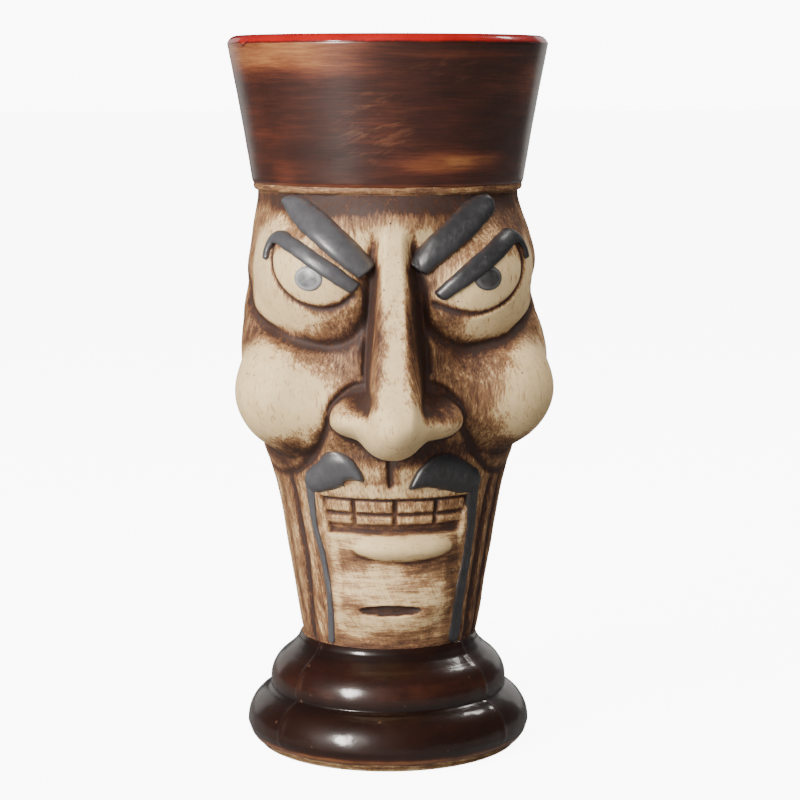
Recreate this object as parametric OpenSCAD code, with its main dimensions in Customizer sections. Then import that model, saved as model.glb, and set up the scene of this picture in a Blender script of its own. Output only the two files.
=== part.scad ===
// Footed tiki tumbler: a flared collar over a carved face on a tapering column and a two-ring foot.
// Millimetres, +Z up, the face looks along -Y, and the origin is the centre of the flat underside.

/* [Foot] */
// Height at which the face column grows out of the foot
foot_h = 27.5; // [26:0.5:29]
// Radius of the wide lower ring
foot_r = 35.9; // [34:0.1:37]
// Radius of the upper ring
upper_ring_r = 30; // [29:0.1:31]
// Height up to which the bottom edge is left bare
bare_edge_h = 2.2; // [1.5:0.1:3]

/* [Collar] */
// Height of the mug
mug_h = 178; // [172:1:184]
// Height of the collar's lower edge
collar_z = 140.5; // [140:0.5:142]
// Outer radius of the bare collar at its lower edge
collar_base_r = 33; // [32.6:0.1:33.6]
// Outer radius of the bare collar just under the lip
collar_top_r = 39.2; // [38:0.1:40]
// Half the thickness of the bare lip
lip_r = 1.9; // [1.7:0.1:2.1]
// Height at which the red glaze of the lip meets the brown glaze
lip_glaze_z = 175.3; // [174:0.1:175.5]

/* [Inside] */
// Height of the bare floor inside
floor_z = 13.6; // [12:0.2:15]
// Thickness of every glaze coat
glaze_t = 0.4; // [0.3:0.05:0.6]

/* [Eyes] */
// Angle of each eye mound from the middle of the face
eye_a = 40; // [38:1:42]
// Height of the middle of the eye mounds
eye_z = 121.5; // [120:0.5:123]
// How far the eye mounds reach from the axis
eye_reach = 39.6; // [38.5:0.1:41]
// Radius of a pupil
pupil_r = 3.1; // [2.6:0.1:3.6]

/* [Nose] */
// How far the tip of the nose reaches from the axis
nose_reach = 55; // [52:0.5:57]
// Height of the tip of the nose
nose_tip_z = 87; // [85:0.5:89]
// Angle of each nostril wing from the middle of the face
wing_a = 18; // [17:0.5:19]

/* [Cheeks and ears] */
// Angle of each cheek from the middle of the face
cheek_a = 56; // [54:0.5:58]
// How far the cheeks reach from the axis
cheek_reach = 46; // [44:0.5:47]
// Height of the middle of the cheeks
cheek_z = 93.5; // [92:0.5:95]
// Angle of each ear from the middle of the face
ear_a = 99; // [97:1:102]
// How far the ears reach from the axis
ear_reach = 36.3; // [35.5:0.1:37]

/* [Mouth] */
// Angle of the middle of the mouth from the middle of the face
mouth_a = -2; // [-4:0.5:0]
// Angle from the middle of the mouth to each of its corners
mouth_half_a = 35; // [32:0.5:36]
// Height of the lower edge of the mouth
mouth_low_z = 57.8; // [57.4:0.1:58.2]
// Height of the upper edge of the mouth
mouth_high_z = 66.7; // [66.4:0.1:67]
// Depth of the mouth
mouth_depth = 2; // [1.5:0.1:2.2]

/* [Painted relief] */
// How far the brows stand off the face
brow_t = 2.4; // [1.8:0.1:3]
// How far the eyelids stand off the eyes
eyelid_t = 0.9; // [0.6:0.1:1.2]
// How far the moustache stands off the face
moustache_t = 1.3; // [1:0.1:1.6]
// How far the whiskers stand off the column
whisker_t = 0.7; // [0.5:0.1:1]

/* [Hidden] */
$fn = 96;

bisque_colour = "wheat";
brown_glaze_colour = "saddlebrown";
foot_glaze_colour = "#3d2018";
red_glaze_colour = "firebrick";
charcoal_colour = "dimgray";

// The lip: a half circle on top of the collar's wall.
lip_z = mug_h - glaze_t - lip_r;
lip_mid_r = collar_top_r - lip_r;

// Bare inner wall, [radius, height] from the lip down to where the floor's rounding starts.
inner_wall = [
    [lip_mid_r - lip_r, lip_z],
    [29, 141],
    [28, 120],
    [27.6, 98],
    [26.6, 86],
    [23.4, 74],
    [20.6, 58],
    [17.4, 36]
];
floor_round_r = 11;
floor_round_x = 5.6;

// The foot's two rings, each an arc about its own centre.
upper_ring = [21.5, 16];
upper_ring_size = upper_ring_r - upper_ring[0];
lower_ring = [27.9, 5.2];
lower_ring_w = foot_r - lower_ring[0];
lower_ring_up = 9;
lower_ring_down = 6;
bottom_arc_a = -asin(lower_ring[1] / lower_ring_down);

// Core of the head and column without its features, [height, radius].
side_profile = [
    [24, 20.8], [29, 22.1], [42, 24.3], [60.7, 27.4], [67, 28.6], [72, 30], [77, 31.6],
    [88, 32.6], [104, 33.2], [113, 34.2], [122, 35.6], [130, 34.4], [136, 32.9], [140, 32.4],
    [141, 31.2], [144, 30.8]
];
front_profile = [
    [24, 20.8], [29, 22.1], [42, 24.3], [60.7, 27.4], [67, 28.6], [77, 30.6], [88, 32.4],
    [104, 33], [122, 33.2], [136, 33.2], [140, 32.6], [141, 31.2], [144, 30.8]
];
back_profile = [
    [24, 20.8], [29, 22.1], [42, 24.3], [60.7, 27.4], [72, 29.4], [88, 31.4], [104, 32.6],
    [122, 33.2], [136, 32.9], [140, 32.4], [141, 31.2], [144, 30.8]
];

// Masses of the face: [angle, distance from the axis, height, half width, half height, half depth].
eye_mass = [eye_a, eye_reach - 16.5, eye_z, 18, 17.2, 16.5];
eyeball_mass = [31.5, eye_reach - 9.8, 122.8, 11.8, 10.6, 11];
cheek_mass = [cheek_a, cheek_reach - 22, cheek_z, 16, 18.3, 22];
nose_tip_mass = [0, nose_reach - 21, nose_tip_z, 9.6, 8.8, 21];
wing_mass = [wing_a, 25, 88.4, 6.6, 6.6, 16.4];
ear_mass = [ear_a, ear_reach - 12, 98, 5.8, 23, 12];
lip_mass = [3.5, 23, 54.2, 12.5, 3.8, 5.8];
chin_mass = [-1, 19, 43, 14, 12, 6.6];

// Ridge of the nose above its tip: [height, distance from the axis] and [height, half width].
nose_ridge = [[76, 31], [79, 45], [nose_tip_z, nose_reach - 1], [98, 50], [117, 43], [130, 39.5], [138, 33]];
nose_width = [[76, 9], [84, 11], [95, 9.6], [105, 8], [116, 6.6], [130, 5.4], [138, 4.8]];

// The face is worked out on rings of points: closer together at the front, wider apart behind.
ring_points = 68;
ring_crowding = 0.45;
ring_angles = [
    for (i = [0:ring_points - 1])
        let(u = -180 + 360 * i / ring_points)
        u - ring_crowding * sin(u) * 180 / PI
];
ring_heights = [
    24, 28, for (z = [31.5:3.5:56]) z, for (z = [58.5:2.1:77.4]) z,
    for (z = [78.6:1.7:139.8]) z, 140.3, 142, 144
];

// Painted relief: [angle, height, half width] along the middle of each stroke, for the +X side.
brow_route = [
    [9.5, 122.4, 2.3], [14.5, 126, 2.9], [24.8, 131.2, 3.1], [35.5, 135.4, 3], [44, 137.6, 2.3],
    [48.5, 138.6, 1.2]
];
brow_shift = -3;
eyelid_route = [
    [15.5, 117.2, 0.8], [25.2, 121.7, 1.6], [33, 125, 1.6], [41.5, 127.9, 1.5], [48.5, 129.6, 1.4],
    [53, 129.1, 1.1], [54, 125, 0.8]
];
pupil_centre = [32.4, 120.8];
moustache_route = [
    [11, 70.4, 0.5], [14, 71.8, 1.8], [19, 73, 3.5], [24.5, 73.1, 4.3], [30.5, 72.3, 3.8], [37, 70.7, 2.7],
    [43, 69.2, 1.2]
];
moustache_shift = -3.5;
whisker_route = [
    [42.3, 70.7, 1.3], [42.6, 66, 1.4], [43, 58.8, 1.2], [41.4, 51, 1.1], [39.8, 43, 1.1], [40.6, 35, 1.1],
    [42, 29, 1]
];
seat_depth = 0.5;
edge_t = 0.15;
stroke_steps = 3;
degree = PI / 180;

// How far a cutting shape runs on past the surface it cuts.
clearance = 5;

// ---- Functions ----

// An arc of n + 1 points about [x, z], with half sizes rx and rz, from angle a0 to a1.
function arc(c, rx, rz, a0, a1, n) =
    [for (i = [0:n]) let(t = a0 + (a1 - a0) * i / n) [c[0] + rx * cos(t), c[1] + rz * sin(t)]];

function reversed(list) = [for (i = [len(list) - 1:-1:0]) list[i]];

// The larger of two values, with the crease between them rounded over k.
function smooth_max(a, b, k) = let(h = max(k - abs(a - b), 0)) max(a, b) + h * h / (4 * k);

// Where a ray from the axis at angle a and height z leaves an ellipsoid m, or 0 where it misses.
function mass_r(a, z, m) =
    let(
        d = a - m[0],
        p = pow(cos(d) / m[5], 2) + pow(sin(d) / m[3], 2),
        q = m[1] * cos(d) / pow(m[5], 2),
        c = pow(m[1] / m[5], 2) + pow((z - m[2]) / m[4], 2) - 1,
        disc = q * q - p * c
    )
    cos(d) > 0 && disc > 0 ? (q + sqrt(disc)) / p : 0;

// The core blends from its front profile to its side profile and on to its back profile.
function core_r(a, z) =
    let(
        side = lookup(z, side_profile),
        front_share = pow(max(cos(1.4 * min(abs(a), 64)), 0), 2),
        back_share = abs(a) < 90 ? 0 : pow(cos(a), 2)
    )
    side + front_share * (lookup(z, front_profile) - side) + back_share * (lookup(z, back_profile) - side);

function nose_r(a, z, base) =
    let(t = base * sin(a) / lookup(z, nose_width))
    z < 76 || z > 138 || abs(a) > 60 || abs(t) >= 1
        ? 0
        : base + (lookup(z, nose_ridge) - base) * pow(1 - t * t, 0.9);

// Distance of the face's surface from the axis, at angle a from its middle and height z.
function face_r(a, z) =
    let(
        b = abs(a),
        core = core_r(a, z),
        mounds = smooth_max(core, mass_r(b, z, eye_mass), 2),
        eyes = smooth_max(mounds, mass_r(b, z, eyeball_mass), 0.5),
        cheeks = smooth_max(eyes, mass_r(b, z, cheek_mass), 4),
        ears = smooth_max(cheeks, mass_r(b, z, ear_mass), 1),
        nose = smooth_max(ears, nose_r(a, z, core), 1.5),
        tip = smooth_max(nose, mass_r(a, z, nose_tip_mass), 3),
        wings = smooth_max(tip, mass_r(b, z, wing_mass), 2.5),
        chin = smooth_max(wings, mass_r(a, z, chin_mass), 1.5)
    )
    smooth_max(chin, mass_r(a, z, lip_mass), 1);

function on_face(a, z, lift) =
    let(r = face_r(a, z) + lift)
    [r * sin(a), -r * cos(a), z];

// A smooth curve through a list of stations: position t counts stations from the first.
function station(route, t) =
    let(
        n = len(route) - 1,
        i = min(floor(t), n - 1),
        f = t - i,
        p0 = route[max(i - 1, 0)],
        p1 = route[i],
        p2 = route[i + 1],
        p3 = route[min(i + 2, n)]
    )
    (2 * p1 + (p2 - p0) * f + (2 * p0 - 5 * p1 + 4 * p2 - p3) * f * f
        + (3 * p1 - p0 - 3 * p2 + p3) * f * f * f) / 2;

// ---- Shared shapes ----

// A raised stroke that follows the face along a route, rounded across and seated in the surface.
module stroke(route, height) {
    across = [-1, -0.75, -0.3, 0.3, 0.75, 1];
    steps = (len(route) - 1) * stroke_steps;
    sides = 2 * len(across);
    points = [
        for (i = [0:steps])
            let(
                t = i / stroke_steps,
                here = station(route, t),
                ahead = station(route, min(t + 0.1, len(route) - 1)),
                behind = station(route, max(t - 0.1, 0)),
                r = face_r(here[0], here[1]),
                along = [(ahead[0] - behind[0]) * degree * r, ahead[1] - behind[1]],
                side = [-along[1], along[0]] / norm(along),
                half = max(here[2], 0.3)
            )
            each [
                for (k = across)
                    on_face(
                        here[0] + side[0] * half * k / (degree * r), here[1] + side[1] * half * k,
                        edge_t + (height - edge_t) * sqrt(1 - k * k) * min(1, half / 1.2)
                    ),
                for (k = reversed(across))
                    on_face(
                        here[0] + side[0] * half * k / (degree * r), here[1] + side[1] * half * k,
                        -seat_depth
                    )
            ]
    ];
    walls = [
        for (i = [0:steps - 1], k = [0:sides - 1])
            let(a = i * sides + k, b = i * sides + (k + 1) % sides)
            each [[a, b, b + sides], [a, b + sides, a + sides]]
    ];
    first = [for (k = [sides - 1:-1:0]) k];
    last = [for (k = [0:sides - 1]) steps * sides + k];
    polyhedron(points, concat(walls, [first, last]), convexity = 6);
}

// The other side of the face is the mirror image.
module on_side(side) {
    mirror([side < 0 ? 1 : 0, 0, 0]) children();
}

// A route turned towards the viewer's right by shift, on whichever side it is for.
function shifted(route, side, shift) = [for (p = route) [p[0] + side * shift, p[1], p[2]]];

// A ring sector centred on the face: an outline in [radius, height] turned through an angle.
module sector(middle_a, span_a, outline) {
    rotate([0, 0, middle_a - 90 - span_a / 2]) rotate_extrude(angle = span_a) polygon(outline);
}

// ---- Head and column ----

module head() {
    n = len(ring_angles);
    rows = len(ring_heights);
    points = [for (z = ring_heights, a = ring_angles) on_face(a, z, 0)];
    walls = [
        for (i = [0:rows - 2], k = [0:n - 1])
            let(a = i * n + k, b = i * n + (k + 1) % n)
            each [[a, b + n, b], [a, a + n, b + n]]
    ];
    underside = [for (k = [0:n - 1]) k];
    top = [for (k = [n - 1:-1:0]) (rows - 1) * n + k];
    polyhedron(points, concat(walls, [underside, top]), convexity = 10);
}

module mouth_recess() {
    low_r = lookup(mouth_low_z, side_profile) - mouth_depth;
    high_r = lookup(mouth_high_z, side_profile) - mouth_depth;
    clear_r = high_r + mouth_depth + clearance;
    sector(mouth_a, 2 * mouth_half_a, [
        [low_r, mouth_low_z], [clear_r, mouth_low_z], [clear_r, mouth_high_z], [high_r, mouth_high_z]
    ]);
}

// Two rows of four teeth on the back wall of the mouth.
module teeth() {
    tooth_a = 17;
    tooth_h = 2.2;
    gap_a = 1.4;
    for (low_z = [60.9, 63.9], i = [-1.5:1:1.5]) {
        front_r = lookup(low_z, side_profile) - 0.5;
        sector(mouth_a + i * (tooth_a + gap_a), tooth_a, [
            [24, low_z], [front_r, low_z], [front_r + 0.4, low_z + tooth_h], [24, low_z + tooth_h]
        ]);
    }
}

module chin_slit() {
    sector(-2.3, 39, [[23, 38.3], [26.5, 36.1], [26.5, 40.5]]);
}

// ---- Collar and foot ----

function collar_r(z) = collar_base_r + (collar_top_r - collar_base_r) * (z - collar_z) / (lip_z - collar_z);

function lip_arc(size, a0, a1) = arc([lip_mid_r, lip_z], size, size, a0, a1, 12);

// Half outline of the space inside, set in by a coat's thickness.
function inside_line(inset) = concat(
    [for (p = inner_wall) [p[0] - inset, p[1]]],
    arc([floor_round_x, floor_z + floor_round_r], floor_round_r - inset, floor_round_r - inset, 0, -90, 8),
    [[0, floor_z + inset]]
);

// Outline of the foot from under the column down to the bare edge, set in by a coat's thickness.
function foot_line(inset) = concat(
    [[22.4 - inset, foot_h + 0.6], [22.8 - inset, foot_h - 0.9], [24 - inset, 25]],
    arc(upper_ring, upper_ring_size - inset, upper_ring_size - inset, 58, -12, 9),
    arc(lower_ring, lower_ring_w - inset, lower_ring_up - inset, 70, 0, 9),
    [[lower_ring[0] + (lower_ring_w - inset) * cos(30), bare_edge_h]]
);

module collar() {
    rotate_extrude() polygon(concat(
        [[26, collar_z], [collar_base_r, collar_z]],
        lip_arc(lip_r, 0, 180),
        [[26, lip_z - 12]]
    ));
}

module foot() {
    rotate_extrude() polygon(concat(
        [[0, foot_h + 0.6]],
        foot_line(glaze_t),
        arc(lower_ring, lower_ring_w - glaze_t, lower_ring_down, -40, bottom_arc_a, 3),
        [[0, 0]]
    ));
}

// ---- Nodes ----

module earthenware_body() {
    color(bisque_colour)
        difference() {
            union() {
                difference() {
                    head();
                    mouth_recess();
                    chin_slit();
                }
                teeth();
                collar();
                foot();
            }
            rotate_extrude() polygon(concat(
                [[0, mug_h + clearance], [lip_mid_r - lip_r, mug_h + clearance]],
                inside_line(0)
            ));
        }
}

module red_lining() {
    color(red_glaze_colour)
        rotate_extrude() polygon(concat(
            [[collar_r(lip_glaze_z), lip_glaze_z]],
            lip_arc(lip_r, 0, 180),
            inside_line(0),
            reversed(inside_line(glaze_t)),
            reversed(lip_arc(lip_r + glaze_t, 0, 180)),
            [[collar_r(lip_glaze_z) + glaze_t, lip_glaze_z]]
        ));
}

module collar_glaze() {
    glaze_low_z = collar_z + 1.5;
    color(brown_glaze_colour)
        rotate_extrude() polygon([
            [collar_r(glaze_low_z), glaze_low_z],
            [collar_r(glaze_low_z) + glaze_t, glaze_low_z],
            [collar_r(lip_glaze_z) + glaze_t, lip_glaze_z],
            [collar_r(lip_glaze_z), lip_glaze_z]
        ]);
}

module foot_glaze() {
    color(foot_glaze_colour) rotate_extrude() polygon(concat(foot_line(0), reversed(foot_line(glaze_t))));
}

module brow(side) {
    color(charcoal_colour) on_side(side) stroke(shifted(brow_route, side, brow_shift), brow_t);
}

module eyelid(side) {
    color(charcoal_colour) on_side(side) stroke(eyelid_route, eyelid_t);
}

// A disc on the eye, its top edge tucked under the eyelid.
module pupil(side) {
    steps = 8;
    route = [
        for (i = [0:steps])
            let(t = -90 + 180 * i / steps)
            [pupil_centre[0], pupil_centre[1] + pupil_r * sin(t), pupil_r * max(cos(t), 0.2)]
    ];
    color(charcoal_colour) on_side(side) stroke(route, 0.5);
}

module moustache(side) {
    color(charcoal_colour) on_side(side) stroke(shifted(moustache_route, side, moustache_shift), moustache_t);
}

module whisker(side) {
    color(charcoal_colour) on_side(side) stroke(whisker_route, whisker_t);
}

earthenware_body();
red_lining();
collar_glaze();
foot_glaze();
brow(-1);  // left_brow
brow(1);  // right_brow
eyelid(-1);  // left_eyelid
eyelid(1);  // right_eyelid
pupil(-1);  // left_pupil
pupil(1);  // right_pupil
moustache(-1);  // left_moustache
moustache(1);  // right_moustache
whisker(-1);  // left_whisker
whisker(1);  // right_whisker
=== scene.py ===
"""Footed tiki tumbler: a sculpted casting, its glaze coats and its painted relief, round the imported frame.

Lengths are millimetres until a mesh is made. Angles are degrees from the middle of the face, positive to
the viewer's right, and the face looks along -Y.
"""
import math

import bpy
import numpy as np
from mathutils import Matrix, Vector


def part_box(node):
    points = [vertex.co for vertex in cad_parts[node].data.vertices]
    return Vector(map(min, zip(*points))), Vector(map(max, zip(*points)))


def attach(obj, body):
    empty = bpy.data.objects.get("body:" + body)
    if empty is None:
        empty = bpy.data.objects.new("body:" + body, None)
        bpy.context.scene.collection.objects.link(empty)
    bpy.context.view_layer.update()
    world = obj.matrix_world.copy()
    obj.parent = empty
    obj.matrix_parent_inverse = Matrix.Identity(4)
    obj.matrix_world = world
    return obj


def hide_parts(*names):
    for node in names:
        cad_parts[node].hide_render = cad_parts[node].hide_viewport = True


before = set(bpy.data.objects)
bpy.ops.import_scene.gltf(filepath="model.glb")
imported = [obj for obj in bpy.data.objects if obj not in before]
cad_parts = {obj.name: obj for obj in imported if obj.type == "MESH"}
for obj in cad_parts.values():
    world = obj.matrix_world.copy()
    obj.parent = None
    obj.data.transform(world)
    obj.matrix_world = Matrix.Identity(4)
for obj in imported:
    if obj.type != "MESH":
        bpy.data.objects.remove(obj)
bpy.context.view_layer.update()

MM = 0.001
DEGREE = math.pi / 180


def box_mm(node):
    low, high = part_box(node)
    return np.array(low) / MM, np.array(high) / MM


# ---- Driving places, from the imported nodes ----

body_low = box_mm("earthenware_body")[0]
lining_low, lining_high = box_mm("red_lining")
collar_low = box_mm("collar_glaze")[0]
foot_low, foot_high = box_mm("foot_glaze")

MUG_H = lining_high[2]
RIM_R = lining_high[0]
COLLAR_GLAZE_Z = collar_low[2]
FLOOR_Z = lining_low[2]
FOOT_R = foot_high[0]
FOOT_TOP_Z = foot_high[2]
BARE_EDGE_Z = foot_low[2]
NOSE_REACH = -body_low[1]

# Thickness of each glaze coat, how far its underside and a stroke's edges lie in the casting, and how much
# further a stroke's underside does.
GLAZE_T = 0.4
COAT_SINK = 0.02
EDGE_SINK = 0.35
STROKE_SEAT = 0.35

# Collar: where its wall starts, its radius there, how hollow it is, and the round lip on it.
COLLAR_Z = COLLAR_GLAZE_Z - 1.5
COLLAR_BASE_R = 33.0
COLLAR_HOLLOW = 0.2
LIP_R = 1.9
COLLAR_TOP_R = RIM_R - GLAZE_T
LIP_MID_R = COLLAR_TOP_R - LIP_R
LIP_Z = MUG_H - GLAZE_T - LIP_R
LINING_TOP_R = LIP_MID_R - LIP_R

# Angle on the rounded lip, from its outer side, at which red meets brown.
RED_EDGE = 10

# Foot: centre [radius, height] and half sizes of each ring, and the angles of the mould's seams.
UPPER_RING, UPPER_RING_SIZE = (21.5, 16), 8.5
LOWER_RING, LOWER_RING_UP, LOWER_RING_DOWN = (27.9, 5.2), 9, 6
LOWER_RING_W = FOOT_R - LOWER_RING[0]
NECK_LINE = [(22.4, FOOT_TOP_Z), (22.8, FOOT_TOP_Z - 1.5), (24, 25)]
SEAM_ANGLES = (-52, 50, 180)
SEAM_H = 0.28

# Inside: wall from the lip down as [radius, height], ending where a round corner turns on to the floor.
CORNER_R = 11
INSIDE_WALL = [
    [LINING_TOP_R, LIP_Z], [29, 141], [28, 120], [27.6, 98], [26.6, 86], [23.4, 74], [20.6, 58], [17.4, 36],
    [16.6, FLOOR_Z + CORNER_R],
]

# The bare ledge at the foot of the collar, as steps [out, up] from the bottom of its wall.
LEDGE = [[-0.5, -0.12], [0, 0.02], [0.28, 0.3], [0.42, 0.8], [0.4, 1.3], [0.25, 1.9]]

# The casting's mesh has this many columns, crowded towards the face by this share.
COLUMNS = 512
CROWDING = 0.52

# Round figures for the radius of the face and of the collar, for patterns laid out over them.
MEAN_R = 33
COLLAR_MEAN_R = 36

GOLDEN_ANGLE = 2.399
FULL_TURN = 6.283

# ---- Small numeric tools ----


def smoothstep(x, low, high):
    t = np.clip((x - low) / (high - low), 0, 1)
    return t * t * (3 - 2 * t)


def smooth_max(a, b, k):
    h = np.maximum(k - np.abs(a - b), 0)
    return np.maximum(a, b) + h * h / (4 * k)


def bell(x, width):
    return np.exp(-((x / width) ** 2))


def curve_through(x, knots):
    """A smooth curve through [x, y] knots that never overshoots them."""
    kx, ky = np.array(knots, float).T
    step = np.diff(kx)
    slope = np.diff(ky) / step
    tangent = np.zeros_like(ky)
    before = step[1:] + 2 * step[:-1]
    after = 2 * step[1:] + step[:-1]
    rising = slope[:-1] * slope[1:] > 0
    safe_low = np.where(rising, slope[:-1], 1)
    safe_high = np.where(rising, slope[1:], 1)
    tangent[1:-1] = np.where(rising, (before + after) / (after / safe_low + before / safe_high), 0)
    tangent[0], tangent[-1] = slope[0], slope[-1]
    i = np.clip(np.searchsorted(kx, x) - 1, 0, len(step) - 1)
    t = np.clip((x - kx[i]) / step[i], 0, 1)
    return (
        (1 + 2 * t) * (1 - t) ** 2 * ky[i]
        + t * (1 - t) ** 2 * step[i] * tangent[i]
        + t * t * (3 - 2 * t) * ky[i + 1]
        + t * t * (t - 1) * step[i] * tangent[i + 1]
    )


def ripple(a, z, size, seed):
    """Gentle hand-made unevenness between about -1 and 1, with features of about size mm."""
    x = MEAN_R * np.sin(a * DEGREE)
    y = MEAN_R * np.cos(a * DEGREE)
    total = np.zeros_like(a + z)
    for i in range(6):
        turn = seed * 1.7 + i * GOLDEN_ANGLE
        along = np.cos(turn) * x + np.sin(turn) * y
        pitch = size * (0.8 + 0.13 * i)
        total = total + np.sin((along + np.cos(turn * 1.3) * z) * FULL_TURN / pitch + 1.9 * i + seed)
    return total / 6


def arc_points(centre, rx, rz, a0, a1, n):
    """Points [radius, height] along an arc of an ellipse, from one angle to the other."""
    t = np.radians(np.linspace(a0, a1, n))
    return np.column_stack([centre[0] + rx * np.cos(t), centre[1] + rz * np.sin(t)])


def resampled(line, spacing):
    """The same [radius, height] line with points no further apart than spacing."""
    out = [line[0]]
    for p, q in zip(line[:-1], line[1:]):
        n = max(1, int(math.ceil(np.linalg.norm(np.subtract(q, p)) / spacing)))
        out += [np.add(p, np.subtract(q, p) * (i + 1) / n) for i in range(n)]
    return np.array(out)


# ---- The face as a distance from the axis ----

SIDE_PROFILE = [
    [24, 20.8], [29, 22.1], [42, 24.3], [60.7, 27.4], [67, 28.6], [72, 30], [77, 31.6], [88, 32.6],
    [104, 33.2], [113, 34.4], [122, 35.9], [130, 34.6], [136, 33], [139, 32.4], [142, 32.3],
]
FRONT_PROFILE = [
    [24, 20.8], [29, 22.1], [42, 24.3], [60.7, 27.4], [67, 28.7], [72, 29.9], [77, 31], [88, 32.2],
    [104, 32.6], [122, 33], [132, 33.4], [136, 33.2], [139, 32.4], [142, 32.3],
]
BACK_PROFILE = [
    [24, 20.8], [29, 22.1], [42, 24.3], [60.7, 27.4], [72, 29.4], [88, 31.4], [104, 32.6], [122, 33.2],
    [132, 33.2], [139, 32.4], [142, 32.3],
]

# Masses: angle, distance of the centre from the axis, height, half width, half height, half depth.
EYE_MOUNDS = [(-42, 21.4, 120.6, 19.5, 19.4, 17.6), (43, 22.6, 119.6, 19.5, 20.4, 17.8)]
SIDE_BULGES = [
    (-78, 19.2, 108.5, 14, 12, 16), (80, 20.2, 107.6, 14, 12.4, 16),
    (-74, 20.5, 97, 14, 15, 16.8), (76, 22, 97.5, 14, 15, 18),
]
CHEEKS = [(-54.5, 22.8, 92.4, 15.6, 17, 21.8), (56, 23.4, 92.8, 15.8, 16.8, 21.8)]
CHEEK_FRONTS = [(-35, 20, 90, 17, 14.5, 17), (36, 20, 90, 17, 14.5, 16.8)]
FOREHEAD = (-2, 16, 134.5, 19, 12, 20)
NOSE_TIP = (-2.2, NOSE_REACH - 21, 86.6, 8.6, 8.8, 21)
NOSE_BASE = (-0.8, 22, 86.6, 13.4, 6.8, 25.5)
NOSTRILS = [(-15.5, 26, 88, 8.4, 6, 19), (14.6, 26, 87.6, 8.4, 6, 19)]
EAR = [(98, 24.1, 107, 8, 13, 12), (96.5, 24, 88, 5.6, 12, 11.4)]
EARS = [(side * a, *rest) for side in (-1, 1) for a, *rest in EAR]
LOWER_LIP = (5, 22, 54.4, 12.8, 4.4, 7)
CHIN = (-1, 18, 42, 15, 13, 7.4)

# The order in which they are joined on, with the size of each blend. The nose is joined up first.
HEAD_JOINS = [([FOREHEAD], 3), (EYE_MOUNDS, 3)]
CHEEK_JOINS = [(CHEEK_FRONTS, 4), (SIDE_BULGES, 8), (CHEEKS, 5), (EARS, 1)]
NOSE_JOINS = [([NOSE_TIP], 5), ([NOSE_BASE], 8), (NOSTRILS, 8)]
NOSE_BLEND = 1.2
CHIN_JOINS = [([CHIN], 1.5), ([LOWER_LIP], 0.8)]

# Nose above its tip: height and distance of the ridge from the axis; height, half width at its left and at
# its right; height and angle of the ridge; share of the width that is flat.
NOSE_RIDGE = [
    [77, 30.5], [79, 33.5], [80.5, 41], [84, 51], [88, NOSE_REACH - 1.4], [92, 52.8], [98, 49.8],
    [117, 41.8], [126, 37.6], [131, 35.8], [139, 33],
]
NOSE_WIDTH = [
    [77, 6, 6], [80, 6, 6.4], [85, 6.4, 7.6], [95, 6.2, 9], [105, 5.6, 8.4], [116, 5, 7.4],
    [130, 4.6, 5.2], [139, 4.6, 5.2],
]
NOSE_LEAN = [[77, -2.2], [88, -2.3], [96, -2.8], [105, -2.9], [116, -2.6], [130, -1.8], [139, -1.6]]
NOSE_FLAT = 0.28

# Painted strokes: angle, height and half width of stations along the middle, inner end first.
BROWS = {
    "left": [
        (-11.2, 122.2, 2.5), (-17, 125.6, 2.9), (-27, 131, 3.1), (-38, 135.1, 3), (-47, 137.8, 2.4),
        (-52, 139, 1),
    ],
    "right": [
        (8, 122.6, 2.5), (13, 126.4, 3), (22.6, 131.4, 3.2), (33, 135.7, 3.1), (41, 138, 2.7),
        (45, 138.8, 2),
    ],
}
EYELIDS = {
    "left": [
        (-15.6, 118.2, 1.6), (-25.2, 122.8, 1.85), (-32.5, 125.9, 1.8), (-41.5, 128.7, 1.75),
        (-48.3, 130, 1.7),
        (-52.8, 129.4, 1.4), (-54.2, 127.4, 1.1), (-53.8, 124.4, 0.9),
    ],
    "right": [
        (15.8, 116.2, 1.5), (25.1, 121.8, 2.05), (33.7, 125.9, 2.2), (41.6, 128.9, 2.15),
        (48.5, 130.2, 1.9),
        (52.8, 129.4, 1.5), (54.6, 127.4, 1.1), (54.4, 124.4, 0.9),
    ],
}
MOUSTACHES = {
    "left": [
        (-14.8, 71.3, 0.3), (-18.5, 73, 1.9), (-23, 74.2, 3.6), (-27, 74.2, 4.7), (-32, 72.8, 4.1),
        (-38, 71.2, 3.5),
        (-43, 70.1, 3), (-46.5, 69.6, 2.6),
    ],
    "right": [
        (6.2, 69.3, 0.3), (10, 70.9, 1.8), (15, 72.5, 3.5), (20.5, 73.4, 4.9), (27, 72.7, 4.5),
        (34, 71.2, 3.9),
        (40, 70.2, 3.2), (44.5, 69.6, 2.6),
    ],
}
WHISKERS = {
    "left": [
        (-44.8, 71, 1.5), (-45.4, 66, 1.4), (-45.6, 59, 1.0), (-43, 52.7, 0.95), (-41.2, 46, 1),
        (-40.4, 40, 1.15),
        (-42, 34, 1.05), (-43.6, 28.2, 1.1),
    ],
    "right": [
        (42, 70.5, 1.9), (42.8, 66, 1.8), (44.6, 58.6, 1.6), (44.6, 49, 1.6), (43.2, 41, 1.8),
        (42.8, 34, 1.9),
        (43, 28.2, 2),
    ],
}
PUPILS = {side: sum(box_mm(side + "_pupil")) / 2 for side in ("left", "right")}
PUPIL_R = 3.1

# Pupil: how far its rim and its underside lie in the eyeball, and its rise from rim to middle.
PUPIL_SINK, PUPIL_SEAT, PUPIL_RISE = 0.3, 0.65, 0.75

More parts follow.
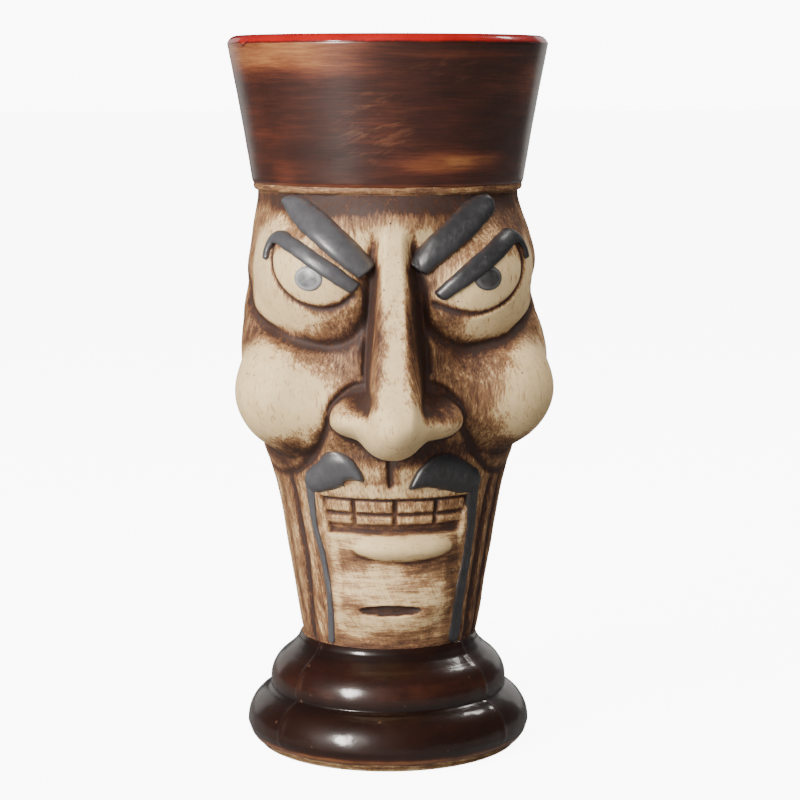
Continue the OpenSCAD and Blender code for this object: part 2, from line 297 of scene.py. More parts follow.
# Carved lines: angle, height of points along them.
EYE_LINES = [
    [
        (-51.5, 128), (-50.6, 125), (-48.4, 121.6), (-43.3, 117.6), (-36.2, 114.6), (-28.6, 113.6),
        (-22.8, 114.3), (-17.6, 116.6),
    ],
    [
        (50.6, 127.6), (51.2, 124.6), (49.6, 120.6), (44.7, 116.6), (37.9, 113.6), (29.7, 112.2),
        (22.3, 112.9), (15, 114.6),
    ],
]
EYE_CENTRES = [(-33.2, 123.6), (33, 122.8)]
EYE_DOME_H, EYE_DOME_R = 0.9, 11
EYE_CREASES = [
    [
        (-90, 121), (-79, 116.6), (-69.5, 110.9), (-53.1, 106.4), (-39.7, 104.3), (-28.5, 104.1),
        (-18.6, 106.2), (-13.6, 110.5), (-12, 116), (-13.5, 120),
    ],
    [
        (90, 117), (74.5, 111.6), (58, 107.4), (43, 104.4), (29, 103.8), (19.3, 106), (12.8, 109.7),
        (11, 115.7), (13, 119),
    ],
]
NOSTRIL_FOLDS = [
    [
        (-12.5, 95.6), (-18.6, 94.6), (-24, 91.6), (-27, 86.6), (-31.7, 81.8), (-38.5, 77.6),
        (-51.3, 72.6), (-64, 71), (-80, 71.5),
    ],
    [
        (12.3, 95.4), (18.4, 94.4), (23, 91.2), (25.8, 86.2), (31.9, 81.3), (39.4, 77.1), (52, 72.4),
        (64, 71), (80, 71.5),
    ],
]
NOSE_GROOVES = [
    [(-9.8, 130.5), (-10.6, 124), (-11.4, 116), (-12.8, 107), (-13.6, 98)],
    [(6.4, 130.5), (8.2, 124), (10.6, 116), (12.6, 107), (13.4, 98)],
]
FLUTES = [
    [(-58.4, 70), (-58, 62), (-56.6, 50), (-59, 38), (-62, 29)],
    [(55.4, 69), (54.6, 60), (54, 48), (54.2, 38), (55, 29)],
    [(67, 69), (66.6, 60), (66.4, 48), (67, 38), (69, 29)],
]
EAR_FOLD = [(103, 116), (97, 118), (92, 112), (92.5, 104), (97, 98), (96, 90), (93, 84)]
EAR_FOLDS = [[(side * a, z) for a, z in EAR_FOLD] for side in (-1, 1)]
PHILTRUM = [[(-2.6, 77.6), (-2.7, 74), (-2.4, 70.2)]]

# What is carved into the face: lines, width and depth of the groove, and shares of its depth along it.
CARVED = [
    (EYE_LINES, 0.65, 0.7, None),
    (EYE_CREASES, 1.5, 1.2, ([0, 0.3, 0.8, 1], [0, 1, 1, 0.3])),
    (NOSTRIL_FOLDS, 1.0, 1.3, ([0, 0.08, 0.4, 0.75, 1], [0.3, 1, 0.8, 0.5, 0.1])),
    (NOSE_GROOVES, 0.8, 1.0, ([0, 0.3, 1], [0.2, 0.9, 0.8])),
    (FLUTES, 0.9, 0.6, None), (EAR_FOLDS, 1.3, 1.3, None), (PHILTRUM, 0.9, 1.1, None),
]

# How far the column and the head lean to the viewer's right.
COLUMN_LEAN = 0.4
HEAD_LEAN = 1.1

# Mouth: its edges as heights and angles, its depth, and the teeth that stand in it, with half the gap.
MOUTH_LOW_Z, MOUTH_HIGH_Z = 57.4, 66.8
MOUTH_CENTRE_A, MOUTH_HALF_LOW, MOUTH_HALF_HIGH = 0.5, 37.8, 40
MOUTH_DEPTH = 1.6
TOOTH_EDGES = [-39.5, -22, 0.1, 21.8, 40.5]
TOOTH_ROWS = [(62.8, 66.3), (59.8, 62.4)]
TOOTH_H, TOOTH_GAP = 0.95, 0.36

# Slit in the chin: angle and height of its middle, half width in degrees, half height, depth.
CHIN_SLIT = (-2.4, 38.3, 20, 1.45, 1.5)

# Hair down the back: height of a lock, how much of it sinks under the surface, and locks in a half turn.
LOCK_H, LOCK_SUNK, LOCKS = 0.5, 0.25, 15


def mass_r(a, z, mass):
    """Where a ray from the axis leaves an ellipsoid, or 0 where it misses."""
    centre_a, dist, height, half_w, half_h, half_d = mass
    d = (a - centre_a) * DEGREE
    p = (np.cos(d) / half_d) ** 2 + (np.sin(d) / half_w) ** 2
    q = dist * np.cos(d) / half_d ** 2
    c = (dist / half_d) ** 2 + ((z - height) / half_h) ** 2 - 1
    disc = q * q - p * c
    hit = (np.cos(d) > 0) & (disc > 0)
    return np.where(hit, (q + np.sqrt(np.where(hit, disc, 0))) / p, 0)


def unroll_r(z):
    return curve_through(z, FRONT_PROFILE)


def along_line(stations, spacing=0.35):
    """Points close together on a smooth line through stations of any number of columns."""
    s = np.array(stations, float)
    if len(s) < 3:
        s = np.vstack([s[0], s.mean(axis=0), s[-1]])
    gaps = np.hypot(np.diff(s[:, 0]) * 0.6, np.diff(s[:, 1]))
    t = np.concatenate([[0], np.cumsum(np.maximum(gaps, 0.01))])
    n = max(int(t[-1] / spacing), 4)
    u = np.linspace(0, t[-1], n)
    tangent = np.gradient(s, t, axis=0)
    i = np.clip(np.searchsorted(t, u) - 1, 0, len(t) - 2)
    h = (t[i + 1] - t[i])[:, None]
    f = ((u - t[i])[:, None]) / h
    return (
        (1 + 2 * f) * (1 - f) ** 2 * s[i] + f * (1 - f) ** 2 * h * tangent[i]
        + f * f * (3 - 2 * f) * s[i + 1] + f * f * (f - 1) * h * tangent[i + 1]
    )


def line_distance(a, z, line):
    """Distance in mm over the surface from each point to a line, and which of its points is the nearest."""
    shape = a.shape
    a, z = a.ravel(), z.ravel()
    best = np.full(a.shape, 99.0)
    where = np.zeros(a.shape, int)
    near = (
        (a > line[:, 0].min() - 22) & (a < line[:, 0].max() + 22)
        & (z > line[:, 1].min() - 9) & (z < line[:, 1].max() + 9)
    )
    if near.any():
        scale = unroll_r(z[near]) * DEGREE
        d2 = np.full(near.sum(), 1e6)
        w = np.zeros(near.sum(), int)
        for i, p in enumerate(line):
            e = ((a[near] - p[0]) * scale) ** 2 + (z[near] - p[1]) ** 2
            closer = e < d2
            d2[closer] = e[closer]
            w[closer] = i
        best[near] = np.sqrt(d2)
        where[near] = w
    return best.reshape(shape), where.reshape(shape)


class Stroke:
    """A raised painted stroke: a middle line with a half width that rounds off at both ends."""

    def __init__(self, stations, height, square, flat):
        self.line = along_line(stations, 0.3)
        self.height = height
        self.flat = flat
        r = unroll_r(self.line[:, 1])
        steps = np.hypot(np.diff(self.line[:, 0]) * DEGREE * r[1:], np.diff(self.line[:, 1]))
        self.place = np.concatenate([[0], np.cumsum(steps)])
        full = self.line[:, 2]
        start = np.clip(self.place / np.maximum(full[0] * (1 - 0.55 * square), 0.2), 0, 1)
        end = np.clip((self.place[-1] - self.place) / np.maximum(full[-1], 0.2), 0, 1)
        power = 2 + 2 * square
        self.rise = (1 - (1 - start) ** power) ** (1 / power) * np.sqrt(1 - (1 - end) ** 2)
        self.half = np.maximum(full * self.rise, 0.04)

    def section(self, t):
        """Height over the face, from -1 to 1 across the stroke: its edges dip under the surface."""
        crown = (1 - np.abs(t) ** self.flat) ** (1 / self.flat)
        lift = self.height * (0.35 + 0.65 * self.rise) * np.minimum(1, self.half / 0.9)
        return -EDGE_SINK + (lift[:, None] + EDGE_SINK) * crown


# Kinds of stroke: places, height, how square the inner end is, how flat the crown is, where 2 is round.
STROKE_KINDS = {
    "brow": (BROWS, 2.4, 0.9, 2.0),
    "eyelid": (EYELIDS, 1.1, 0.5, 2.6),
    "moustache": (MOUSTACHES, 1.5, 0.0, 2.0),
    "whisker": (WHISKERS, 0.6, 0.0, 2.6),
}
STROKES = {
    side + "_" + kind: Stroke(places[side], height, square, flat)
    for side in ("left", "right")
    for kind, (places, height, square, flat) in STROKE_KINDS.items()
}


def pupil_place(side):
    x, y, z = PUPILS[side]
    return math.degrees(math.atan2(x, -y)), z


def core_r(a, z):
    """The plain column and head, blended round from the front profile to the side's and the back's."""
    b = np.minimum(np.abs(a), 64)
    side = curve_through(z, SIDE_PROFILE)
    front_share = np.maximum(np.cos(1.4 * b * DEGREE), 0) ** 2
    back_share = np.where(np.abs(a) < 90, 0, np.cos(a * DEGREE) ** 2)
    return (
        side + front_share * (curve_through(z, FRONT_PROFILE) - side)
        + back_share * (curve_through(z, BACK_PROFILE) - side)
    )


def nose_r(a, z, base):
    """A narrow flat ridge with a side plane falling away on either hand."""
    x = base * np.sin((a - curve_through(z, NOSE_LEAN)) * DEGREE)
    left, right = (curve_through(z, [[row[0], row[k]] for row in NOSE_WIDTH]) for k in (1, 2))
    t = np.abs(x) / np.where(x < 0, left, right)
    reach = np.maximum(curve_through(z, NOSE_RIDGE) - base, 0)
    sides = 0.5 + 0.5 * np.cos(math.pi * np.clip((t - NOSE_FLAT) / (1 - NOSE_FLAT), 0, 1))
    near = (np.abs(a) < 60) & (t < 1) & (z > NOSE_RIDGE[0][0]) & (z < NOSE_RIDGE[-1][0])
    return np.where(near, base + reach * sides, 0)


def carve(a, z, lines, width, depth, fade=None):
    """Depth of round-bottomed grooves along lines."""
    total = np.zeros_like(a)
    for points in lines:
        line = along_line(points)
        d, where = line_distance(a, z, line)
        strength = np.ones(len(line)) if fade is None else np.interp(np.linspace(0, 1, len(line)), *fade)
        total = np.maximum(total, depth * strength[where] * bell(d, width))
    return total


def joined(r, a, z, joins):
    for masses, blend in joins:
        for mass in masses:
            r = smooth_max(r, mass_r(a, z, mass), blend)
    return r


def plain_face_r(a, z):
    """The masses of the face, without anything carved into them."""
    lean = COLUMN_LEAN * (1 - smoothstep(z, 66, 84)) + HEAD_LEAN * bell(z - 125, 8)
    base = core_r(a, z) + lean * np.sin(a * DEGREE)
    r = joined(base, a, z, HEAD_JOINS)
    for centre_a, centre_z in EYE_CENTRES:
        scale = unroll_r(z) * DEGREE
        d = np.hypot((a - centre_a) * scale, z - centre_z)
        r = r + EYE_DOME_H * np.clip(1 - (d / EYE_DOME_R) ** 2, 0, 1)
    r = joined(r, a, z, CHEEK_JOINS)
    nose = joined(nose_r(a, z, base), a, z, NOSE_JOINS)
    return joined(smooth_max(r, nose, NOSE_BLEND), a, z, CHIN_JOINS)


def face_r(a, z):
    """The casting without its painted strokes."""
    a, z = np.broadcast_arrays(np.asarray(a, float), np.asarray(z, float))
    r = plain_face_r(a, z)
    for lines, width, depth, fade in CARVED:
        r = r - carve(a, z, lines, width, depth, fade)
    r = r - mouth_depth(a, z) - slit_depth(a, z) + hair_ridges(a, z)
    return r + 0.12 * ripple(a, z, 9, 1) + 0.05 * ripple(a, z, 3.3, 2)


def mouth_depth(a, z):
    """The open mouth as a shallow box with two rows of teeth standing in it."""
    up = (z - MOUTH_LOW_Z) / (MOUTH_HIGH_Z - MOUTH_LOW_Z)
    half = MOUTH_HALF_LOW + (MOUTH_HALF_HIGH - MOUTH_HALF_LOW) * np.clip(up, 0, 1)
    scale = unroll_r(z) * DEGREE
    sides = (half - np.abs(a - MOUTH_CENTRE_A)) * scale
    edge = np.minimum(np.minimum(z - MOUTH_LOW_Z, MOUTH_HIGH_Z - z), sides)
    opening = MOUTH_DEPTH * smoothstep(edge, -0.25, 0.55)
    teeth = np.zeros_like(a)
    for low_z, high_z in TOOTH_ROWS:
        for low_a, high_a in zip(TOOTH_EDGES[:-1], TOOTH_EDGES[1:]):
            beside = np.abs(a - (low_a + high_a) / 2) * scale - ((high_a - low_a) / 2 * scale - TOOTH_GAP)
            above = np.abs(z - (low_z + high_z) / 2) - (high_z - low_z) / 2
            teeth = np.maximum(teeth, TOOTH_H * (1 - smoothstep(np.maximum(beside, above), -0.8, 0.15)))
    return opening - np.minimum(teeth, opening)


def slit_depth(a, z):
    centre_a, centre_z, half_a, half_z, depth = CHIN_SLIT
    d = ((a - centre_a) / half_a) ** 2 + ((z - centre_z) / half_z) ** 2
    return depth * (1 - smoothstep(d, 0.35, 1.05))


def hair_ridges(a, z):
    """Combed locks down the back of the column and head."""
    behind = smoothstep(np.abs(a), 108, 122)
    sweep = a * 0.5 + 2.5 * np.sin(z / 17)
    locks = LOCK_H * np.abs(np.sin(sweep * DEGREE * 2 * LOCKS)) ** 0.7
    return behind * smoothstep(z, 30, 36) * (1 - smoothstep(z, 132, 138)) * (locks - LOCK_SUNK)


def xyz(a, z, r):
    return np.stack([r * np.sin(a * DEGREE), -r * np.cos(a * DEGREE), z * np.ones_like(r)], axis=-1)


# ---- Mesh making ----


def grid_mesh(name, points, attributes, wrap_rows=False, poles=(None, None)):
    """A mesh over rows of points, closed round its columns and, if asked, with a pole at either end."""
    rows, columns = points.shape[:2]
    vertices = points.reshape(-1, 3)
    i = np.arange(rows if wrap_rows else rows - 1)[:, None]
    j = np.arange(columns)[None, :]
    a = i * columns + j
    b = i * columns + (j + 1) % columns
    c = ((i + 1) % rows) * columns + (j + 1) % columns
    d = ((i + 1) % rows) * columns + j
    quads = np.stack([a, b, c, d], axis=-1).reshape(-1, 4)
    fans = []
    for pole, row, flip in ((poles[0], 0, True), (poles[1], rows - 1, False)):
        if pole is None:
            continue
        vertices = np.vstack([vertices, pole])
        tip = len(vertices) - 1
        ring = row * columns + np.arange(columns)
        following = row * columns + (np.arange(columns) + 1) % columns
        pair = (following, ring) if flip else (ring, following)
        fans.append(np.stack([pair[0], pair[1], np.full(columns, tip)], axis=-1))
    corners = np.concatenate([quads.ravel()] + [f.ravel() for f in fans])
    sizes = np.concatenate([np.full(len(quads), 4)] + [np.full(len(f), 3) for f in fans])
    mesh = bpy.data.meshes.new(name)
    mesh.vertices.add(len(vertices))
    mesh.vertices.foreach_set("co", (vertices * MM).astype(np.float32).ravel())
    mesh.loops.add(len(corners))
    mesh.loops.foreach_set("vertex_index", corners.astype(np.int32))
    mesh.polygons.add(len(sizes))
    starts = np.cumsum(sizes) - sizes
    mesh.polygons.foreach_set("loop_start", starts.astype(np.int32))
    mesh.polygons.foreach_set("loop_total", sizes.astype(np.int32))
    mesh.update(calc_edges=True)
    mesh.validate()
    mesh.shade_smooth()
    for key, values in attributes.items():
        full = np.zeros(len(vertices), np.float32)
        full[: rows * columns] = np.asarray(values, np.float32).ravel()
        layer = mesh.attributes.new(key, "FLOAT", "POINT")
        layer.data.foreach_set("value", full)
    piece = bpy.data.objects.new(name, mesh)
    bpy.context.scene.collection.objects.link(piece)
    return piece


def place(piece, material, slot, *nodes):
    """Gives a piece its material and its body, and hides the CAD nodes that it stands for."""
    piece.data.materials.append(material)
    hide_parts(*nodes)
    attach(piece, "root")
    return piece


def ring_angles():
    u = np.linspace(-180, 180, COLUMNS, endpoint=False)
    return u - CROWDING * np.sin(u * DEGREE) / DEGREE


# ---- Materials ----


class Graph:
    """A short way to write a node material around one Principled shader."""

    def __init__(self, name):
        self.material = bpy.data.materials.new(name)
        self.material.use_nodes = True
        self.tree = self.material.node_tree
        self.shader = self.tree.nodes["Principled BSDF"]
        self.where = self.node("ShaderNodeTexCoord").outputs["Object"]

    def node(self, kind, **settings):
        n = self.tree.nodes.new(kind)
        for key, value in settings.items():
            setattr(n, key, value)
        return n

    def feed(self, socket, value):
        if isinstance(value, bpy.types.NodeSocket):
            self.tree.links.new(value, socket)
        else:
            socket.default_value = value

    def math(self, operation, *values):
        n = self.node("ShaderNodeMath", operation=operation)
        for socket, value in zip(n.inputs, values):
            self.feed(socket, value)
        return n.outputs[0]

    def times(self, a, b):
        return self.math("MULTIPLY", a, b)

    def push(self, value, noise, amount):
        """The value, moved up or down by noise that lies round 0.5."""
        return self.math("MULTIPLY_ADD", self.math("SUBTRACT", noise, 0.5), amount, value)

    def attribute(self, name):
        return self.node("ShaderNodeAttribute", attribute_name=name).outputs["Fac"]

    def noise(self, scale, detail=4.0, rough=0.55, stretch=(1, 1, 1), offset=(0, 0, 0), turn=0.0, warp=0.0):
        """Noise with features of about 1 / scale metres, longer along an axis whose stretch is below 1."""
        turned = self.node("ShaderNodeMapping")
        self.feed(turned.inputs["Vector"], self.where)
        turned.inputs["Rotation"].default_value = (0, turn * DEGREE, 0)
        mapping = self.node("ShaderNodeMapping")
        self.feed(mapping.inputs["Vector"], turned.outputs[0])
        mapping.inputs["Scale"].default_value = stretch
        mapping.inputs["Location"].default_value = offset
        n = self.node("ShaderNodeTexNoise")
        self.feed(n.inputs["Vector"], mapping.outputs[0])
        n.inputs["Scale"].default_value = scale
        n.inputs["Detail"].default_value = detail
        n.inputs["Roughness"].default_value = rough
        n.inputs["Distortion"].default_value = warp
        return n.outputs["Fac"]

    def spots(self, scale, radius, share, soft=0.25):
        """Round specks: radius is in cell widths, and share is how many cells hold one."""
        n = self.node("ShaderNodeTexVoronoi")
        self.feed(n.inputs["Vector"], self.where)
        n.inputs["Scale"].default_value = scale
        dots = self.span(n.outputs["Distance"], radius, radius * (1 - soft))
        split = self.node("ShaderNodeSeparateColor")
        self.feed(split.inputs[0], n.outputs["Color"])
        chosen = self.math("LESS_THAN", split.outputs[0], share)
        return self.times(dots, chosen)

    def span(self, value, low, high, out_low=0.0, out_high=1.0):
        """The value's place between low and high, eased, as a value between the other two."""
        n = self.node("ShaderNodeMapRange", interpolation_type="SMOOTHSTEP")
        names = ("Value", "From Min", "From Max", "To Min", "To Max")
        for key, v in zip(names, (value, low, high, out_low, out_high)):
            self.feed(n.inputs[key], v)
        return n.outputs[0]

    def ramp(self, value, stops):
        n = self.node("ShaderNodeValToRGB")
        self.feed(n.inputs[0], value)
        while len(n.color_ramp.elements) < len(stops):
            n.color_ramp.elements.new(0.5)
        for element, (at, colour) in zip(n.color_ramp.elements, stops):
            element.position = at
            element.color = (*colour, 1)
        return n.outputs[0]

    def mix(self, share, a, b, blend="MIX"):
        n = self.node("ShaderNodeMix", data_type="RGBA", blend_type=blend)
        self.feed(n.inputs[0], share)
        for socket, value in ((n.inputs[6], a), (n.inputs[7], b)):
            self.feed(socket, value if isinstance(value, bpy.types.NodeSocket) else (*value, 1))
        return n.outputs[2]

    def bump(self, height, distance, strength):
        n = self.node("ShaderNodeBump")
        self.feed(n.inputs["Height"], height)
        n.inputs["Distance"].default_value = distance
        n.inputs["Strength"].default_value = strength
        return n.outputs[0]

    def finish(self, colour, roughness, normal=None, **constants):
        self.feed(self.shader.inputs["Base Color"], colour)
        self.feed(self.shader.inputs["Roughness"], roughness)
        if normal is not None:
            self.feed(self.shader.inputs["Normal"], normal)
        for key, value in constants.items():
            self.shader.inputs[key.replace("_", " ")].default_value = value
        return self.material


# Colours of the bare clay and its stain, from wiped clean to full.
CREAM_WARM = (0.5, 0.325, 0.165)
BISQUE_RAMP = [
    (0.14, (0.68, 0.505, 0.27)), (0.29, CREAM_WARM), (0.46, (0.24, 0.124, 0.056)),
    (0.74, (0.088, 0.038, 0.021)), (0.95, (0.036, 0.0165, 0.0115)), (1.0, (0.042, 0.0242, 0.0208)),
]
MOTTLE_RAMP = [(0.35, (0.88, 0.85, 0.8)), (0.65, (1, 1, 1))]
PIT_COLOUR = (0.05, 0.025, 0.018)

# Charcoal underglaze: darker and paler places on each side, with the left side painted paler as painted
# light and the right side darker as painted shade; its crown, worn paler and also a painted highlight; its
# edge and its specks.
CHARCOAL_LIT_LEFT_SHADED_RIGHT = {
    "left": ((0.05, 0.0495, 0.0545), (0.07, 0.0695, 0.0765)),
    "right": ((0.017, 0.0168, 0.0187), (0.024, 0.0238, 0.0265)),
}
CHARCOAL_WORN_AND_HIGHLIGHT = (0.1, 0.098, 0.104)
CHARCOAL_EDGE = (0.06, 0.032, 0.022)
CHARCOAL_SPECK = (0.25, 0.2, 0.16)

# Pupils: darker and paler places, a painted highlight ring at the rim, and how strong that painted highlight
# is.
PUPIL_GLAZES = {
    "pale": ((0.085, 0.085, 0.093), (0.185, 0.185, 0.198), 0.5),
    "dark": ((0.022, 0.021, 0.022), (0.046, 0.045, 0.047), 0.12),
}
PUPIL_HIGHLIGHT_RING = (0.42, 0.42, 0.43)

# Glazes, from where they pool to where they are thin.
COLLAR_RAMP = [
    (0.0, (0.014, 0.0035, 0.0022)), (0.25, (0.033, 0.0078, 0.004)), (0.45, (0.07, 0.016, 0.0072)),
    (0.68, (0.15, 0.043, 0.0145)), (0.9, (0.28, 0.113, 0.037)), (1.0, (0.38, 0.18, 0.065)),
]
COLLAR_MARK = (0.22, 0.085, 0.038)
FOOT_RAMP = [
    (0.0, (0.004, 0.0018, 0.0013)), (0.3, (0.0085, 0.0025, 0.0015)), (0.6, (0.0165, 0.0043, 0.0023)),
    (0.85, (0.045, 0.013, 0.006)), (1.0, (0.14, 0.055, 0.022)),
]
FOOT_SPOT = (0.2, 0.1, 0.055)
RED_RAMP = [(0.3, (0.24, 0.005, 0.004)), (0.7, (0.34, 0.0085, 0.006))]
RED_THIN = (0.07, 0.005, 0.004)

# What the three gloss glazes share.
GLOSS = {"Specular_IOR_Level": 0.25, "Coat_Weight": 1.0, "Coat_IOR": 1.5}


def bisque_material():
    """Pale earthenware, its brown stain brushed on and wiped back so that it stays in hollows and pores."""
    g = Graph("stained_bisque")
    stain = g.attribute("stain")
    level = g.attribute("level")

    def either(a, b):
        n = g.node("ShaderNodeMix", data_type="FLOAT")
        for socket, value in ((n.inputs[0], level), (n.inputs[2], a), (n.inputs[3], b)):
            g.feed(socket, value)
        return n.outputs[0]

    streaks = either(
        g.noise(900, 5, 0.62, stretch=(1, 1, 0.12), turn=9),
        g.noise(900, 5, 0.62, stretch=(0.13, 0.13, 1), offset=(0.2, 0, 0.1)),
    )
    hairs = either(
        g.noise(2600, 3, 0.6, stretch=(1, 1, 0.07), offset=(0.1, 0.3, 0), turn=-6),
        g.noise(3200, 4, 0.7, stretch=(0.1, 0.1, 1)),
    )
    leaning = g.noise(2000, 2, 0.6, stretch=(1, 1, 0.06), turn=24)
    crossing = g.noise(2000, 3, 0.7, stretch=(1, 1, 0.1), turn=-42, offset=(0.3, 0.1, 0))
    cloud = g.noise(260, 6, 0.65, offset=(0.4, 0.1, 0.2))
    grain = g.noise(4200, 4, 0.75)

    wiped = stain
    for noise, amount in ((streaks, 0.85), (hairs, 0.85), (leaning, 0.4), (crossing, 0.2), (cloud, 0.5)):
        wiped = g.push(wiped, noise, amount)
    wiped = g.push(wiped, grain, g.span(stain, 0.03, 0.4, 0.1, 0.45))
    colour = g.ramp(wiped, BISQUE_RAMP)
    shallow = g.times(g.span(wiped, 0.36, 0.6), g.span(wiped, 0.92, 0.66))
    scratched = g.times(g.span(leaning, 0.57, 0.68), shallow)
    colour = g.mix(g.times(scratched, g.span(cloud, 0.42, 0.6, 0.05, 0.5)), colour, CREAM_WARM)
    mottle = g.ramp(g.noise(420, 4, 0.6, offset=(0.7, 0.2, 0.9)), MOTTLE_RAMP)
    colour = g.mix(0.7, colour, mottle, "MULTIPLY")
    pits = g.spots(560, 0.14, 0.08)
    specks = g.spots(1500, 0.18, 0.13)
    crumbs = g.times(g.spots(2400, 0.22, 0.16), shallow)
    marks = g.math("MAXIMUM", pits, g.times(specks, 0.75))
    colour = g.mix(marks, colour, PIT_COLOUR)
    colour = g.mix(g.times(crumbs, 0.2), colour, CREAM_WARM)
    roughness = g.span(wiped, 0.1, 0.95, 0.56, 0.66)
    height = g.math("MULTIPLY_ADD", grain, 0.45, g.noise(1500, 4, 0.6))
    height = g.math("MULTIPLY_ADD", wiped, -0.25, height)
    height = g.math("SUBTRACT", height, g.times(pits, 2.5))
    normal = g.bump(height, 0.00012, 0.6)
    return g.finish(colour, roughness, normal, Specular_IOR_Level=0.35)


def charcoal_material(side):
    """Satin charcoal underglaze, worn paler along its crown as wear and as a painted highlight, and stained
    brown at its edge; painted paler on the left as painted light and darker on the right as painted shade.
    """
    g = Graph("charcoal_underglaze_with_painted_light_" + side)
    edge = g.attribute("edge")
    cloud = g.noise(420, 5, 0.6)
    streak = g.noise(1300, 4, 0.6, stretch=(1, 1, 0.3))
    # The left side's copy is painted paler as painted light, the right side's darker as painted shade.
    dark, pale = CHARCOAL_LIT_LEFT_SHADED_RIGHT[side]
    base = g.ramp(cloud, [(0.3, dark), (0.7, pale)])
    # Paler along the crown: wear, and a painted highlight along the ridge.
    worn_crown_and_highlight = g.times(g.span(edge, 0.35, 1.0), g.span(streak, 0.4, 0.7))
    base = g.mix(g.times(worn_crown_and_highlight, 0.3), base, CHARCOAL_WORN_AND_HIGHLIGHT)
    brown = g.times(g.span(edge, 0.35, 0.0), g.span(g.noise(700, 5, 0.65), 0.42, 0.6))
    base = g.mix(g.times(brown, 0.8), base, CHARCOAL_EDGE)
    base = g.mix(g.spots(1300, 0.16, 0.05), base, CHARCOAL_SPECK)
    height = g.math("MULTIPLY_ADD", g.noise(4200, 3, 0.6), 0.4, g.noise(1300, 4, 0.6))
    roughness = g.span(cloud, 0.3, 0.7, 0.3, 0.38)
    return g.finish(base, roughness, g.bump(height, 0.0001, 0.3), Specular_IOR_Level=0.7)


def pupil_material(kind):
    """Glazed disc with a faint painted highlight ring inside its rim."""
    g = Graph("pupil_" + kind)
    edge = g.attribute("edge")
    dark, pale, highlight_share = PUPIL_GLAZES[kind]
    base = g.ramp(g.noise(700, 4, 0.55), [(0.35, dark), (0.65, pale)])
    # A painted highlight ring just inside the rim.
    ring = g.times(g.span(edge, 0.05, 0.2), g.span(edge, 0.42, 0.25))
    base = g.mix(g.times(ring, highlight_share), base, PUPIL_HIGHLIGHT_RING)
    normal = g.bump(g.noise(1800, 4, 0.6), 0.00008, 0.5)
    return g.finish(base, 0.36, normal, Coat_Weight=0.35, Coat_Roughness=0.22)


def collar_material():
    """Brown glaze laid on round the collar with a wide brush: tan where thin, near black where it pools."""
    g = Graph("brushed_brown_glaze")
    thin = g.attribute("thin")
    sweep = g.noise(520, 6, 0.62, stretch=(0.1, 0.1, 1), warp=0.4)
    hairs = g.noise(2400, 5, 0.7, stretch=(0.05, 0.05, 1), offset=(0.3, 0, 0))
    cloud = g.noise(70, 3, 0.5, stretch=(0.6, 0.6, 1), offset=(0.12, 0.4, 0.3))
    value = g.push(g.push(g.push(thin, sweep, 0.5), hairs, 0.62), cloud, 0.4)
    colour = g.ramp(value, COLLAR_RAMP)
    scratch = g.noise(760, 4, 0.65, stretch=(0.2, 0.2, 1), offset=(0.5, 0.2, 0.1), turn=17, warp=0.4)
    marks = g.times(g.span(scratch, 0.5, 0.66), g.attribute("feather"))
    colour = g.mix(g.times(marks, 0.22), colour, COLLAR_MARK)
    height = g.math("MULTIPLY_ADD", hairs, 0.3, sweep)
    under = g.bump(height, 0.0001, 0.35)
    wet = g.bump(g.math("MULTIPLY_ADD", sweep, 0.35, g.noise(160, 2, 0.5)), 0.0002, 0.22)
    g.feed(g.shader.inputs["Coat Normal"], wet)
    return g.finish(colour, 0.42, under, Coat_Roughness=0.25, **GLOSS)


def foot_material():
    """Thick dark brown glaze over the rings of the foot, red-brown where it thins on the crowns."""
    g = Graph("dark_brown_glaze")
    thin = g.attribute("thin")
    sweep = g.noise(420, 5, 0.6, stretch=(0.14, 0.14, 1), warp=0.5)
    cloud = g.noise(130, 4, 0.6, offset=(0.2, 0.5, 0.1))
    colour = g.ramp(g.push(g.push(thin, sweep, 0.35), cloud, 0.5), FOOT_RAMP)
    colour = g.mix(g.times(g.spots(480, 0.24, 0.05, 0.8), 0.4), colour, FOOT_SPOT)
    wet = g.bump(g.noise(260, 3, 0.5), 0.00022, 0.4)
    g.feed(g.shader.inputs["Coat Normal"], wet)
    under = g.bump(g.math("ADD", sweep, g.noise(1200, 3, 0.6)), 0.0001, 0.4)
    return g.finish(colour, 0.4, under, Coat_Roughness=0.17, **GLOSS)


def red_material():
    """Opaque red gloss glaze, a little darker where it runs thin over the edge."""
    g = Graph("red_glaze")
    edge = g.attribute("edge")
    cloud = g.noise(140, 3, 0.5, stretch=(1, 1, 0.4))
    colour = g.ramp(cloud, RED_RAMP)
    ragged = g.push(edge, g.noise(700, 3, 0.6), 0.5)
    colour = g.mix(g.span(ragged, 0.4, 0.0), colour, RED_THIN)
    wet = g.bump(g.noise(180, 2, 0.5), 0.00018, 0.35)
    g.feed(g.shader.inputs["Coat Normal"], wet)
    return g.finish(colour, 0.3, Coat_Roughness=0.06, **GLOSS)


# ---- Pieces ----


def collar_r(z):
    """The bare collar, its wall a touch hollow between its foot and the lip."""
    share = (z - COLLAR_Z) / (LIP_Z - COLLAR_Z)
    return COLLAR_BASE_R + (COLLAR_TOP_R - COLLAR_BASE_R) * share - COLLAR_HOLLOW * np.sin(share * math.pi)


def foot_line(inset):
    """Half outline of the foot from its top edge down to the bare edge, as [radius, height]."""
    neck = [[r - inset, z] for r, z in NECK_LINE]
    upper = arc_points(UPPER_RING, UPPER_RING_SIZE - inset, UPPER_RING_SIZE - inset, 58, -12, 24)
    lower = arc_points(LOWER_RING, LOWER_RING_W - inset, LOWER_RING_UP - inset, 70, 0, 24)
    last = [[LOWER_RING[0] + (LOWER_RING_W - inset) * math.cos(30 * DEGREE), BARE_EDGE_Z]]
    return resampled(np.vstack([neck, upper, lower, last]), 0.6)


